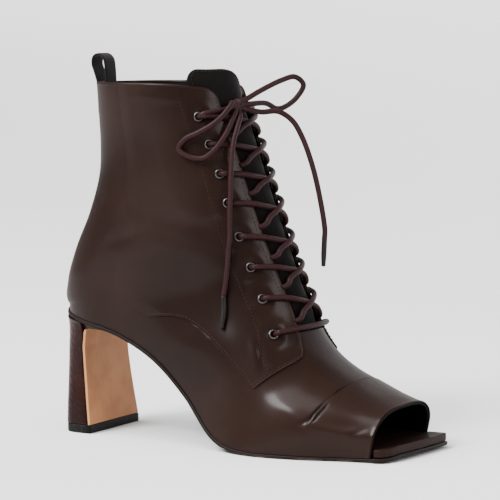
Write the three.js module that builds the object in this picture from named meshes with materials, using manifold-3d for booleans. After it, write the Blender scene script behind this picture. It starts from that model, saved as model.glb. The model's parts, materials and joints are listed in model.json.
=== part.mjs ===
// A right peep toe ankle boot with a block heel, laced over a tongue and zipped on its inner side.
// Millimetres. +X points to the toe, +Y to the inner side, +Z up. The boot stands on z = 0.
import * as THREE from 'three';
import { mergeVertices } from 'three/addons/utils/BufferGeometryUtils.js';
import Module from 'manifold-3d';

const wasm = await Module();
wasm.setup();

// Driving dimensions
const BACK_TO_CENTRE = 118.4; // from the back of the counter to the middle of the boot's length
const SIDE_SHIFT = -1.0; // moves the boot sideways, so that its box is centred on y = 0
const WALL = 1.6; // leather and lining of the upper
const OVERLAY = 1.0; // the quarters stand this far above the vamp
const OVERLAY_ROOT = 1.1; // and reach this far into the wall
const TOE_BAND_STEP = 0.6; // the toe band stands this far above the vamp
const GAP = 0.3; // between pieces that meet
const SOLE_THICKNESS = 2.1;
const SOLE_EDGE = 0.7; // the outsole stands out past the upper
const INSOLE_THICKNESS = 4.6;
const INSOLE_INSET = 2.7; // from the upper's outside to the insole's edge
const HEEL_TIP_THICKNESS = 5.0;
const TONGUE_THICKNESS = 2.2;
const TONGUE_TOP_ROW = -0.62;
const TONGUE_SWELL = 1.9; // the tongue bulges this far between the facings
const TONGUE_SLACK = 0.8; // and lies this far under them
const EYELET_RADIUS = 3.0;
const EYELET_BORE = 1.7;
const EYELET_HOLE = 2.5; // radius of the hole in the leather
const EYELET_SEGMENTS = 8;
const LACE_RADIUS = 1.6;
const LACE_RIM = 3.6; // a strand starts this far from an eyelet's middle
const LACE_TUCK = 3.1; // and ends this far from the edge of the opposite facing
const OVER_LEATHER = OVERLAY + GAP + LACE_RADIUS; // height of a strand on a facing
const OVER_TONGUE = 2.0; // and between the facings
const LACE_TIP_RADIUS = 1.5;
const PULL_LENGTH = 17.5; // wire frame of the zip's pull
const PULL_HALF = 3.2;
const BAR_OUT = 3.75; // the pull's cross bar, in front of the leather
const BAR_UP = -1.0;
const BAR_RADIUS = 0.55;
const TAG_LENGTH = 17; // leather tag on the frame
const LOOP_WIDTH = 11.5; // strap of the pull loop at the back
const LOOP_THICKNESS = 1.5;

// Side view sections of the upper, from the collar (row 0) to the edge of the toe opening (row 16).
// Each row is a slanted cut. front is its point on the throat or vamp line, back its point on the
// back seam, and from row 7 on the point on the feather edge, where the upper meets the sole.
// halfFront, halfMiddle and halfBack are half widths along the cut, shiftFront and shiftBack its
// centre. The cut is rounded over crownDepth at the front with a squareness of crownPower, and
// over backDepth at the back, which lies beyond the cut by backBeyond.
const COLUMNS = [
  'frontX', 'frontZ', 'backX', 'backZ', 'halfFront', 'halfMiddle', 'halfBack',
  'shiftFront', 'shiftBack', 'crownDepth', 'crownPower', 'backDepth', 'backBeyond',
];
const SECTIONS = [
  [114, 209, 24.5, 208, 34, 34.5, 32, 0, 0, 44, 2.0, 40, 0],
  [118, 195, 25.5, 191, 33, 34, 31, 0, 0, 44, 2.0, 40, 0],
  [124, 179, 26.5, 171, 32.5, 33.5, 30.5, 0.5, 0, 44, 2.0, 40, 0],
  [130.5, 160, 25.5, 153, 32, 34, 30.5, 1, 0, 45, 2.0, 39, 0],
  [137, 142, 19, 131, 31, 34.5, 31, 1.5, 0, 46, 2.0, 38, 0],
  [143.5, 124, 9.5, 110, 30, 35, 31, 2, 0, 46, 2.0, 38, 0],
  [148.5, 111, 3.4, 90, 30, 34.5, 31, 2.5, 0, 46, 2.0, 37, 0],
  [152, 101, 4.2, 75, 30, 34, 30, 3, 0, 46, 2.0, 36, 0],
  [155.5, 92, 25, 69, 30, 34.5, 30, 3.5, 0, 45, 2.0, 36, 22],
  [160, 81, 52, 62.5, 31, 35.5, 29.5, 4, -1, 44, 2.1, 34, 50],
  [164, 70.5, 78, 49.5, 33, 37.5, 28.5, 4.5, -3, 42, 2.1, 34, 90],
  [168.5, 60.5, 100, 30, 36, 40, 30, 5.5, -3, 40, 2.2, 34, 90],
  [174.5, 52.5, 124, 7.5, 39, 43, 39, 6.5, -2, 38, 2.3, 34, 90],
  [183.5, 45.5, 150, 2.4, 40, 45.5, 45, 7, -0.5, 34, 2.4, 34, 90],
  [195.5, 39, 177, 2.4, 40, 44.5, 44.2, 7.5, 2, 30, 2.6, 34, 90],
  [209, 32.5, 202, 2.4, 37, 40, 38.5, 7.5, 4.5, 25, 2.9, 34, 90],
  [222, 28, 218, 2.8, 34, 36, 35.5, 7, 5, 21, 3.2, 34, 90],
];
const SEAT_ROW = 7; // back end of the heel seat
const THROAT_ROW = 10.2; // the vamp closes across the front from here
const FACING_ROW = 11.5; // lower end of the facings
const TOE_BAND_ROW = 13.8;
const LAST_ROW = 16;
const FEATHER_Z = 2.4; // lowest height of the feather edge
const BACK_POWER = 2.2;

// Half width of the throat at each row, from its centre line to the edge of a facing
const THROAT = [
  { row: 0, half: 19 },
  { row: 0.4, half: 17 },
  { row: 1, half: 15.2 },
  { row: 4.3, half: 14.5 },
  { row: 8, half: 13.2 },
  { row: 9.5, half: 14 },
  { row: 10.4, half: 15.5 },
  { row: 11.1, half: 18.5 },
  { row: 11.5, half: 22 },
];

// Eyelets, outer and inner side alike: row, and distance from the throat's centre line
const EYELET_ROWS = [1.28, 2.2, 3.08, 3.98, 5.04, 6.4, 8.3, 10.05];
const EYELET_HALF = [25.6, 24.8, 24.2, 24.2, 23.6, 23.0, 23.4, 26.6];

// Lower edge of the outer quarter: share of the way from the throat to the back, and row
const OUTER_QUARTER = [
  { share: 0, row: 11.42 },
  { share: 0.03, row: 11.5 },
  { share: 0.22, row: 11.58 },
  { share: 0.375, row: 11.65 },
  { share: 0.41, row: 11.0 },
  { share: 0.45, row: 10.2 },
  { share: 0.48, row: 9.15 },
  { share: 0.5, row: 8.7 },
  { share: 0.54, row: 8.47 },
  { share: 0.65, row: 8.35 },
  { share: 0.75, row: 8.45 },
  { share: 0.83, row: 8.8 },
  { share: 0.9, row: 9.0 },
];

// Rear edge of the inner quarter, down the zip and then along the slanted seam
const INNER_QUARTER = [
  { row: 0, share: 0.27 },
  { row: 1.4, share: 0.31 },
  { row: 2.6, share: 0.355 },
  { row: 3.7, share: 0.36 },
  { row: 4.9, share: 0.36 },
  { row: 6.2, share: 0.365 },
  { row: 6.8, share: 0.375 },
  { row: 7.8, share: 0.39 },
  { row: 9.0, share: 0.445 },
  { row: 9.9, share: 0.47 },
  { row: 10.7, share: 0.455 },
  { row: 11.5, share: 0.42 },
];

// Centre line of the zip in side view
const ZIP = [
  { z: 209, x: 80.8 },
  { z: 186, x: 80.9 },
  { z: 164, x: 81.8 },
  { z: 142, x: 83.4 },
  { z: 120, x: 85.0 },
  { z: 98, x: 86.4 },
  { z: 77, x: 88.2 },
  { z: 60, x: 88.7 },
];
const ZIP_TOP = 207.4;
const ZIP_BOTTOM = 61;
const ZIP_SLOT = 2.9; // half width of the slot
const SLIDER_Z = 201.5;

// Platform in front of the toe opening: its outer and inner edge, station by station
const PLATFORM = [
  { outerX: 219.5, outerY: -31.3, innerX: 219.5, innerY: 41.2 },
  { outerX: 223.3, outerY: -30.3, innerX: 225, innerY: 41.2 },
  { outerX: 226, outerY: -27.8, innerX: 229.8, innerY: 40.2 },
  { outerX: 227.8, outerY: -24, innerX: 232.4, innerY: 37.6 },
  { outerX: 228.8, outerY: -18.5, innerX: 233.8, innerY: 33 },
];
const TOE_SPRING = 1.2;
const TIP_BOW = 0.8; // the tip's edge curves forward by this much

// Heel, from its foot up: back, front of the breast cover, half width and squareness of the back
const HEEL = [
  { z: 5.3, back: 12.9, front: 29.6, half: 27.4, power: 4.5 },
  { z: 17, back: 11.3, front: 27.9, half: 26.4, power: 4.0 },
  { z: 30, back: 9.6, front: 26.2, half: 25.2, power: 3.4 },
  { z: 43, back: 7.8, front: 24.7, half: 24.4, power: 2.9 },
  { z: 52, back: 6.5, front: 24.0, half: 24.2, power: 2.6 },
  { z: 57, back: 5.7, front: 24.7, half: 24.4, power: 2.4 },
  { z: 59.6, back: 5.2, front: 27.4, half: 24.6, power: 2.4 },
  { z: 61.4, back: 4.9, front: 33.0, half: 24.8, power: 2.4 },
];
const BREAST_THICKNESS = 1.5;
const SHELF_Z = 60.2; // underside of the heel's wing

const COLOURS = {
  leather: 0x3a2b26,
  lining: 0x17110f,
  tan: 0xb07a50,
  heel: 0x45211f,
  rubber: 0x131111,
  sole: 0x2a1d18,
  cord: 0x4a2a2b,
  metal: 0x85838a,
  chrome: 0xc9cbd0,
  tape: 0x1c1416,
};

function material(colour, roughness, metalness = 0) {
  return new THREE.MeshStandardMaterial({ color: colour, roughness, metalness });
}

// The sections as a function of the row: a smooth curve through the rows of the table
function sectionAt(row) {
  const first = Math.min(Math.max(Math.floor(row), 0), LAST_ROW - 1);
  const u = row - first;
  const section = {};
  COLUMNS.forEach((name, column) => {
    const value = (index) => SECTIONS[Math.min(Math.max(index, 0), LAST_ROW)][column];
    const start = value(first);
    const end = value(first + 1);
    if (row < 0) {
      section[name] = start + (end - start) * row;
      return;
    }
    const startSlope = (end - value(first - 1)) / 2;
    const endSlope = (value(first + 2) - start) / 2;
    section[name] = start * (2 * u ** 3 - 3 * u ** 2 + 1)
      + startSlope * (u ** 3 - 2 * u ** 2 + u)
      + end * (3 * u ** 2 - 2 * u ** 3)
      + endSlope * (u ** 3 - u ** 2);
  });
  section.backZ = Math.max(section.backZ, FEATHER_Z);
  section.backBeyond = Math.max(section.backBeyond, 0);
  return section;
}

// Looks a value up between the rows of a table
function lookUp(table, key, value, position) {
  let index = 1;
  while (index < table.length - 1 && (table[index][key] - position) * (table[0][key] - position) > 0) {
    index += 1;
  }
  const before = table[index - 1];
  const after = table[index];
  const share = (position - before[key]) / (after[key] - before[key]);
  return before[value] + (after[value] - before[value]) * Math.min(Math.max(share, 0), 1);
}

// A rounded end: 0 at its tip, 1 from the given depth on
function crown(distance, depth, power) {
  const left = Math.min(Math.max(1 - distance / depth, 0), 1);
  return (1 - left ** power) ** (1 / power);
}

// Half width of a section at a share q of the way from its front to its back
function halfWidth(section, q) {
  const length = Math.hypot(section.backX - section.frontX, section.backZ - section.frontZ);
  const plain = section.halfFront * (1 - q) * (1 - 2 * q)
    + 4 * section.halfMiddle * q * (1 - q)
    + section.halfBack * q * (2 * q - 1);
  const front = crown(q * length, section.crownDepth, section.crownPower);
  const back = crown((1 - q) * length + section.backBeyond, section.backDepth, BACK_POWER);
  return plain * front * back;
}

// The last's surface. turn runs from -PI at the back along the outer side to 0 on the throat line,
// and on along the inner side to PI.
function lastPoint(row, turn) {
  const section = sectionAt(row);
  const q = (1 - Math.cos(turn)) / 2;
  const centre = section.shiftFront * (1 - q) + section.shiftBack * q;
  return new THREE.Vector3(
    section.frontX + (section.backX - section.frontX) * q - BACK_TO_CENTRE,
    centre + Math.sign(turn) * halfWidth(section, q) + SIDE_SHIFT,
    section.frontZ + (section.backZ - section.frontZ) * q,
  );
}

function lastNormal(row, turn) {
  const step = 0.02;
  const turnBefore = Math.max(turn - step, -Math.PI + 1e-6);
  const turnAfter = Math.min(turn + step, Math.PI - 1e-6);
  const down = lastPoint(Math.min(row + step, LAST_ROW), turn).sub(lastPoint(row - step, turn));
  const round = lastPoint(row, turnAfter).sub(lastPoint(row, turnBefore));
  return down.cross(round).normalize();
}

// On the back seam both sides share one normal
function surfaceNormal(row, turn) {
  const onBack = Math.PI - Math.abs(turn) < 1e-6 && row <= SEAT_ROW;
  if (!onBack) {
    return lastNormal(row, turn);
  }
  const normal = lastNormal(row, Math.PI - 0.02);
  normal.y = 0;
  return normal.normalize();
}

function lifted(row, turn, height) {
  return lastPoint(row, turn).addScaledVector(surfaceNormal(row, turn), height);
}

function shareToTurn(q) {
  return Math.acos(1 - 2 * Math.min(Math.max(q, 0), 1));
}

// The turn at which the outside is half wide, measured from the section's front centre
function turnAtHalf(row, half) {
  const section = sectionAt(row);
  let low = 0;
  let high = 0.5;
  for (let pass = 0; pass < 30; pass += 1) {
    const middle = (low + high) / 2;
    if (halfWidth(section, middle) < half) {
      low = middle;
    } else {
      high = middle;
    }
  }
  return shareToTurn(low);
}

function throatHalf(row) {
  return lookUp(THROAT, 'row', 'half', row);
}

function facingTurn(row) {
  return turnAtHalf(row, throatHalf(row));
}

// Row and turn of the point that lies at x, z in side view
function locate(x, z) {
  let low = 0;
  let high = LAST_ROW;
  const below = (row) => {
    const s = sectionAt(row);
    return (s.backX - s.frontX) * (z - s.frontZ) - (s.backZ - s.frontZ) * (x - s.frontX) > 0;
  };
  for (let pass = 0; pass < 40; pass += 1) {
    const middle = (low + high) / 2;
    if (below(middle)) {
      low = middle;
    } else {
      high = middle;
    }
  }
  const s = sectionAt(low);
  const length = (s.backX - s.frontX) ** 2 + (s.backZ - s.frontZ) ** 2;
  const along = (x - s.frontX) * (s.backX - s.frontX) + (z - s.frontZ) * (s.backZ - s.frontZ);
  return { row: low, turn: shareToTurn(along / length) };
}

// A closed solid between an outer and an inner sheet of points that share one list of faces
function thicken(outer, inner, faces) {
  const seen = new Map();
  const kept = [];
  const merged = (i) => {
    const key = outer[i].toArray().map((v) => Math.round(v * 1e4)).join(',');
    if (!seen.has(key)) {
      seen.set(key, kept.length);
      kept.push(i);
    }
    return seen.get(key);
  };
  const sheet = faces.map((face) => face.map(merged))
    .filter(([a, b, c]) => a !== b && b !== c && c !== a);
  const count = kept.length;
  const triangles = [];
  const edges = new Map();
  sheet.forEach(([a, b, c]) => {
    triangles.push(a, b, c, count + c, count + b, count + a);
    [[a, b], [b, c], [c, a]].forEach(([from, to]) => {
      if (!edges.delete(`${to},${from}`)) {
        edges.set(`${from},${to}`, [from, to]);
      }
    });
  });
  edges.forEach(([from, to]) => {
    triangles.push(from, count + from, to, to, count + from, count + to);
  });
  const points = [...kept.map((i) => outer[i]), ...kept.map((i) => inner[i])];
  const geometry = new THREE.BufferGeometry().setFromPoints(points);
  geometry.setIndex(triangles);
  return geometry;
}

// Two triangles for each cell of a grid, which face the viewer when rows run down and columns
// to the right
function gridFaces(rows, columns, start = 0, leftOut = () => false) {
  const faces = [];
  for (let i = 0; i < rows - 1; i += 1) {
    for (let j = 0; j < columns - 1; j += 1) {
      const a = start + i * columns + j;
      const c = a + columns;
      if (!leftOut(i, j)) {
        faces.push([a, c, a + 1], [a + 1, c, c + 1]);
      }
    }
  }
  return faces;
}

function flipped(faces) {
  return faces.map(([a, b, c]) => [a, c, b]);
}

function toManifold(geometry) {
  const bare = geometry.clone();
  bare.deleteAttribute('normal');
  bare.deleteAttribute('uv');
  const merged = mergeVertices(bare, 1e-4);
  const solid = new wasm.Manifold(new wasm.Mesh({
    numProp: 3,
    vertProperties: Float32Array.from(merged.attributes.position.array),
    triVerts: Uint32Array.from(merged.index.array),
  }));
  return solid;
}

function toGeometry(solid) {
  const mesh = solid.getMesh();
  const geometry = new THREE.BufferGeometry();
  geometry.setAttribute('position', new THREE.Float32BufferAttribute(mesh.vertProperties, 3));
  geometry.setIndex(Array.from(mesh.triVerts));
  return geometry;
}

const boot = new THREE.Group();

function addPiece(name, geometry, look) {
  const mesh = new THREE.Mesh(geometry, look);
  mesh.name = name;
  boot.add(mesh);
  return mesh;
}

// The collar dips a little towards the throat
function collarRow(turn) {
  const q = (1 - Math.cos(turn)) / 2;
  return 0.4 * Math.max(1 - q / 0.5, 0) ** 2;
}

// Rows of the shaft, and rows with a feather edge, which the sole and the insole share
const SHAFT_ROWS = [0, 0.9, 1.9, 3, 4, 4.8, 5.5, 6.2];
const SEAT_ROWS = [SEAT_ROW, 7.04, 7.12, 7.3, 7.6, 8.1, 8.8];
const FEATHER_ROWS = [
  ...SEAT_ROWS, 9.5, THROAT_ROW, 10.8, 11.4, 12.1, 12.9,
  TOE_BAND_ROW, TOE_BAND_ROW + 0.03, 14.6, 15.3, LAST_ROW,
];

// Upper: one hollow wall from the collar to the toe opening, open at the throat and underneath
function toeBandHeight(row, turn) {
  if (row <= TOE_BAND_ROW) {
    return 0;
  }
  const q = (1 - Math.cos(turn)) / 2;
  return TOE_BAND_STEP * (1 - THREE.MathUtils.smoothstep(q, 0.4, 0.62));
}

function upperWall() {
  const rows = [...SHAFT_ROWS, ...FEATHER_ROWS];
  const bridge = [0, 0.5];
  const steps = 9;
  const columns = bridge.length + steps + 1;
  const outer = [];
  const inner = [];
  const faces = [];
  [-1, 1].forEach((side) => {
    const start = outer.length;
    rows.forEach((row) => {
      const edge = facingTurn(row);
      for (let column = 0; column < columns; column += 1) {
        const past = (column - bridge.length) / steps;
        const turn = side * (past < 0 ? edge * bridge[column] : edge + (Math.PI - edge) * past);
        const at = Math.max(row, collarRow(turn));
        outer.push(lifted(at, turn, toeBandHeight(row, turn)));
        inner.push(lifted(at, turn, -WALL));
      }
    });
    const inThroat = (i, j) => rows[i] < THROAT_ROW && j < bridge.length;
    const sheet = gridFaces(rows.length, columns, start, inThroat);
    faces.push(...(side > 0 ? sheet : flipped(sheet)));
  });
  return toManifold(thicken(outer, inner, faces));
}

// A sheet of leather that lies on the wall and makes a step in it along its edges
function overlay(side, rowCount, stepCount, place, height) {
  const outer = [];
  const inner = [];
  for (let i = 0; i < rowCount; i += 1) {
    for (let j = 0; j < stepCount; j += 1) {
      const { row, turn } = place(i / (rowCount - 1), j / (stepCount - 1));
      outer.push(lifted(row, side * turn, height(row, turn)));
      inner.push(lifted(row, side * turn, -OVERLAY_ROOT));
    }
  }
  const sheet = gridFaces(rowCount, stepCount);
  return toManifold(thicken(outer, inner, side > 0 ? sheet : flipped(sheet)));
}

function outerQuarter() {
  const columns = [0, 0.03, 0.15, 0.28, 0.375, 0.41, 0.45, 0.48, 0.5, 0.54, 0.65, 0.78, 0.9];
  const last = columns.length - 1;
  const place = (down, across) => {
    const share = columns[Math.round(across * last)];
    const bottom = lookUp(OUTER_QUARTER, 'share', 'row', share);
    const guess = down * bottom;
    const edge = facingTurn(guess) - 0.012;
    const edgeShare = (1 - Math.cos(edge)) / 2;
    const turn = shareToTurn(edgeShare + (1 - edgeShare) * share);
    const top = collarRow(turn) - 0.02;
    return { row: top + (bottom - top) * down, turn };
  };
  const fade = (row, turn) => OVERLAY - (OVERLAY + 0.25) * THREE.MathUtils.smoothstep(turn, 1.9, 2.5);
  return overlay(-1, 13, columns.length, place, fade);
}

function innerQuarter() {
  const place = (down, across) => {
    const bottom = FACING_ROW - 0.08 * (1 - across);
    const guess = down * bottom;
    const edge = facingTurn(guess) - 0.012;
    const edgeShare = (1 - Math.cos(edge)) / 2;
    const rear = lookUp(INNER_QUARTER, 'row', 'share', guess);
    const turn = shareToTurn(edgeShare + rear * (1 - edgeShare) * across);
    const top = collarRow(turn) - 0.02;
    return { row: top + (bottom - top) * down, turn };
  };
  return overlay(1, 13, 6, place, () => OVERLAY);
}

// Slot for the zip, cut straight through the inner side
function zipSlot() {
  const edge = (sign) => ZIP.map(({ x, z }, index) => {
    const top = index === 0 ? z + 7 : z;
    return new THREE.Vector2(x + sign * ZIP_SLOT - BACK_TO_CENTRE, top);
  });
  const outline = new THREE.Shape([...edge(1), ...edge(-1).reverse()]);
  const geometry = new THREE.ExtrudeGeometry(outline, { depth: 45, bevelEnabled: false });
  geometry.rotateX(Math.PI / 2);
  geometry.translate(0, 60, 0);
  return toManifold(geometry);
}

// Frame of a small fitting on the leather: its place, and the turn from +Z to the surface normal
function seat(row, turn, height) {
  const normal = surfaceNormal(row, turn);
  const quaternion = new THREE.Quaternion().setFromUnitVectors(new THREE.Vector3(0, 0, 1), normal);
  return new THREE.Matrix4().compose(lifted(row, turn, height), quaternion, new THREE.Vector3(1, 1, 1));
}

const EYELETS = [];
EYELET_ROWS.forEach((row, index) => {
  [-1, 1].forEach((side) => {
    EYELETS.push({
      name: `eyelet_${side < 0 ? 'outer' : 'inner'}_${index + 1}`,
      row,
      turn: side * turnAtHalf(row, EYELET_HALF[index]),
    });
  });
});

function buildUpper() {
  let solid = upperWall().add(outerQuarter()).add(innerQuarter());
  solid = solid.subtract(zipSlot());
  EYELETS.forEach(({ row, turn }) => {
    const hole = new THREE.CylinderGeometry(EYELET_HOLE, EYELET_HOLE, 7, EYELET_SEGMENTS);
    hole.rotateX(Math.PI / 2);
    hole.applyMatrix4(seat(row, turn, 0));
    solid = solid.subtract(toManifold(hole));
  });
  return toGeometry(solid);
}

addPiece('upper', buildUpper(), material(COLOURS.leather, 0.42));

// An eyelet: a barrel through the leather and a rolled flange on it, turned about its bore
function buildEyelet() {
  const flange = OVERLAY + GAP;
  const profile = [
    [EYELET_BORE, -WALL],
    [EYELET_BORE + 0.4, flange],
    [EYELET_RADIUS, flange],
    [EYELET_BORE + 0.3, flange + 0.9],
    [EYELET_BORE, -WALL],
  ].map(([radius, height]) => new THREE.Vector2(radius, height));
  const geometry = new THREE.LatheGeometry(profile, EYELET_SEGMENTS);
  geometry.deleteAttribute('normal');
  geometry.deleteAttribute('uv');
  return mergeVertices(geometry, 1e-4).rotateX(Math.PI / 2);
}

EYELETS.forEach(({ name, row, turn }) => {
  const ring = buildEyelet().applyMatrix4(seat(row, turn, 0));
  addPiece(name, ring, material(COLOURS.metal, 0.3, 1));
});

// Bottom of the boot, station by station: a cross line at a row of the feather edge, widened by
// margin, or a station of the platform. It gives count points from the outer to the inner edge.
function stationFrame(row) {
  const here = sectionAt(row);
  const after = sectionAt(Math.min(row + 0.05, LAST_ROW));
  const before = sectionAt(row > SEAT_ROW + 0.05 ? row - 0.05 : row);
  const slope = new THREE.Vector2(after.backX - before.backX, after.backZ - before.backZ).normalize();
  return {
    section: here,
    along: new THREE.Vector3(slope.x, 0, slope.y),
    up: new THREE.Vector3(-slope.y, 0, slope.x),
  };
}

function bottomStation(row, margin, height, count) {
  const { section, up, along } = stationFrame(row);
  const behind = 1 - crown(section.backBeyond, section.backDepth, BACK_POWER);
  const half = halfWidth(section, 1);
  const widened = half > 0.5 ? half + margin : 0;
  const points = [];
  for (let j = 0; j < count; j += 1) {
    const share = j / (count - 1);
    const point = new THREE.Vector3(
      section.backX - BACK_TO_CENTRE,
      section.shiftBack + widened * (2 * share - 1) + SIDE_SHIFT,
      section.backZ,
    );
    point.addScaledVector(up, height);
    point.addScaledVector(along, -margin * behind);
    points.push(point);
  }
  return points;
}

function platformStation(index, margin, height, count) {
  const { outerX, outerY, innerX, innerY } = PLATFORM[index];
  const forward = index / (PLATFORM.length - 1);
  const points = [];
  for (let j = 0; j < count; j += 1) {
    const share = j / (count - 1);
    const bow = TIP_BOW * forward * 4 * share * (1 - share);
    points.push(new THREE.Vector3(
      outerX + (innerX - outerX) * share + bow + margin * forward - BACK_TO_CENTRE,
      outerY + (innerY - outerY) * share + margin * (2 * share - 1) + SIDE_SHIFT,
      sectionAt(LAST_ROW).backZ + GAP + TOE_SPRING * forward ** 2 + height,
    ));
  }
  return points;
}

const ACROSS = 5;

// Outsole: a thin sheet that runs from the heel seat through the arch to the tip of the platform
function buildOutsole() {
  const top = [];
  const bottom = [];
  FEATHER_ROWS.forEach((row) => {
    top.push(...bottomStation(row, SOLE_EDGE, -GAP, ACROSS));
    bottom.push(...bottomStation(row, SOLE_EDGE, -GAP - SOLE_THICKNESS, ACROSS));
  });
  PLATFORM.forEach((station, index) => {
    top.push(...platformStation(index, SOLE_EDGE, -GAP, ACROSS));
    bottom.push(...platformStation(index, SOLE_EDGE, -GAP - SOLE_THICKNESS, ACROSS));
  });
  bottom.forEach((point) => {
    point.z = Math.max(point.z, 0);
  });
  const rows = top.length / ACROSS;
  return thicken(top, bottom, gridFaces(rows, ACROSS));
}

addPiece('outsole', buildOutsole(), material(COLOURS.sole, 0.55));

// Insole: a padded board inside the upper, which widens into the platform past the toe opening
function buildInsole() {
  const top = [];
  const bottom = [];
  FEATHER_ROWS.slice(1).forEach((row) => {
    const inside = Math.min(row, 15.98);
    const thickness = 3.2 + (INSOLE_THICKNESS - 3.2) * THREE.MathUtils.smoothstep(row, 13, 15);
    top.push(...bottomStation(inside, -INSOLE_INSET, thickness, ACROSS));
    bottom.push(...bottomStation(inside, -INSOLE_INSET, 0, ACROSS));
  });
  PLATFORM.forEach((station, index) => {
    top.push(...platformStation(index, 0, INSOLE_THICKNESS, ACROSS));
    bottom.push(...platformStation(index, 0, 0, ACROSS));
  });
  const rows = top.length / ACROSS;
  return thicken(top, bottom, gridFaces(rows, ACROSS));
}

addPiece('insole_platform', buildInsole(), material(COLOURS.leather, 0.5));

// Heel: a curved block with a wing under the waist. Each level is a D in plan, round at the back.
function heelLevel({ z, back, front, half, power }, inset, count) {
  const points = [];
  for (let k = 0; k <= count; k += 1) {
    const angle = -Math.PI / 2 + (Math.PI * k) / count;
    const round = Math.abs(Math.cos(angle)) ** (2 / power);
    const side = Math.sign(Math.sin(angle)) * Math.abs(Math.sin(angle)) ** (2 / power);
    points.push(new THREE.Vector3(
      front - inset - (front - inset - back) * round - BACK_TO_CENTRE,
      half * side + SIDE_SHIFT,
      z,
    ));
  }
  return points;
}

// A closed loft through rings of points, each ring closed, from the lowest to the highest
function loft(rings) {
  const count = rings[0].length;
  const points = rings.flat();
  const triangles = [];
  for (let i = 0; i < rings.length - 1; i += 1) {
    for (let k = 0; k < count; k += 1) {
      const a = i * count + k;
      const b = i * count + ((k + 1) % count);
      triangles.push(a, b, a + count, b, b + count, a + count);
    }
  }
  const last = (rings.length - 1) * count;
  for (let k = 1; k < count - 1; k += 1) {
    triangles.push(0, k + 1, k, last, last + k, last + k + 1);
  }
  const geometry = new THREE.BufferGeometry().setFromPoints(points);
  geometry.setIndex(triangles);
  return geometry;
}

const HEEL_STEPS = 14;

function heelWing() {
  const rows = SEAT_ROWS.slice(1);
  const top = [];
  const bottom = [];
  rows.forEach((row) => {
    const roof = bottomStation(row, -0.3, -SOLE_THICKNESS - 2 * GAP, ACROSS);
    const floor = bottomStation(row, -1.6, -SOLE_THICKNESS - 2 * GAP, ACROSS);
    floor.forEach((point, j) => {
      point.z = Math.min(SHELF_Z, roof[j].z - 0.25);
    });
    top.push(...roof);
    bottom.push(...floor);
  });
  return toManifold(thicken(top, bottom, gridFaces(rows.length, ACROSS)));
}

function buildHeel() {
  const block = loft(HEEL.map((level) => {
    const inset = level.z < 58 ? BREAST_THICKNESS + GAP : 0.4;
    return heelLevel(level, inset, HEEL_STEPS);
  }).map((ring) => ring.reverse()));
  return toGeometry(toManifold(block).add(heelWing()));
}

addPiece('heel_block', buildHeel(), material(COLOURS.heel, 0.35));

// Top piece of the heel: the flat rubber plate that it stands on
function buildHeelTip() {
  const ring = heelLevel(HEEL[0], 0, HEEL_STEPS).reverse();
  const foot = ring.map((point) => new THREE.Vector3(point.x, point.y, 0));
  const top = ring.map((point) => new THREE.Vector3(point.x, point.y, HEEL_TIP_THICKNESS));
  return loft([foot, top]);
}

addPiece('heel_tip', buildHeelTip(), material(COLOURS.rubber, 0.7));

// Breast cover: the sole leather turned down over the front of the heel, with round top corners
function buildBreastCover() {
  const levels = HEEL.filter((level) => level.z < 58);
  const rows = [...levels].reverse();
  const front = [];
  const back = [];
  rows.forEach((level, index) => {
    const half = level.half - (index === 0 ? 3.2 : 0.4);
    for (let j = 0; j < ACROSS; j += 1) {
      const y = half * (2 * (j / (ACROSS - 1)) - 1) + SIDE_SHIFT;
      front.push(new THREE.Vector3(level.front - BACK_TO_CENTRE, y, level.z));
      back.push(new THREE.Vector3(level.front - BREAST_THICKNESS - BACK_TO_CENTRE, y, level.z));
    }
  });
  return thicken(front, back, gridFaces(rows.length, ACROSS));
}

addPiece('heel_breast_cover', buildBreastCover(), material(COLOURS.tan, 0.5));

// Tongue: a strip under the facings, swelling up between them, with a rounded top over the collar
function tongueHalf(row) {
  const full = 27 - 4 * THREE.MathUtils.smoothstep(row, 5, 11);
  const fromTop = Math.min(Math.max((row - TONGUE_TOP_ROW) / 0.8, 0), 1);
  return full * (0.62 + 0.38 * Math.sqrt(1 - (1 - fromTop) ** 2));
}

function tongueRise(row, half) {
  const gap = throatHalf(row) - 1.5;
  const swell = TONGUE_SWELL * Math.max(1 - (half / gap) ** 2, 0);
  const under = THREE.MathUtils.smoothstep(row, 9.3, 10.0);
  return -WALL - TONGUE_SLACK + swell * (1 - under);
}

function buildTongue() {
  const rows = [
    TONGUE_TOP_ROW, -0.54, -0.3, 0.3, 1.3, 2.5, 3.6, 4.6, 5.6, 6.6, 7.8, 9.2, 10, 11.2,
  ];
  const across = [-1, -0.75, -0.55, -0.3, 0, 0.3, 0.55, 0.75, 1];
  const outer = [];
  const inner = [];
  rows.forEach((row) => {
    across.forEach((share) => {
      const half = tongueHalf(row) * Math.abs(share);
      const turn = Math.sign(share) * turnAtHalf(row, half);
      const rise = tongueRise(row, half);
      outer.push(lifted(row, turn, rise));
      inner.push(lifted(row, turn, rise - TONGUE_THICKNESS));
    });
  });
  return thicken(outer, inner, gridFaces(rows.length, across.length));
}

addPiece('tongue', buildTongue(), material(COLOURS.lining, 0.6));

// Zip: tape with its closed chain in the slot, slider at the top, and a pull that hangs from it
function zipX(z) {
  return lookUp(ZIP, 'z', 'x', z);
}

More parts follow.
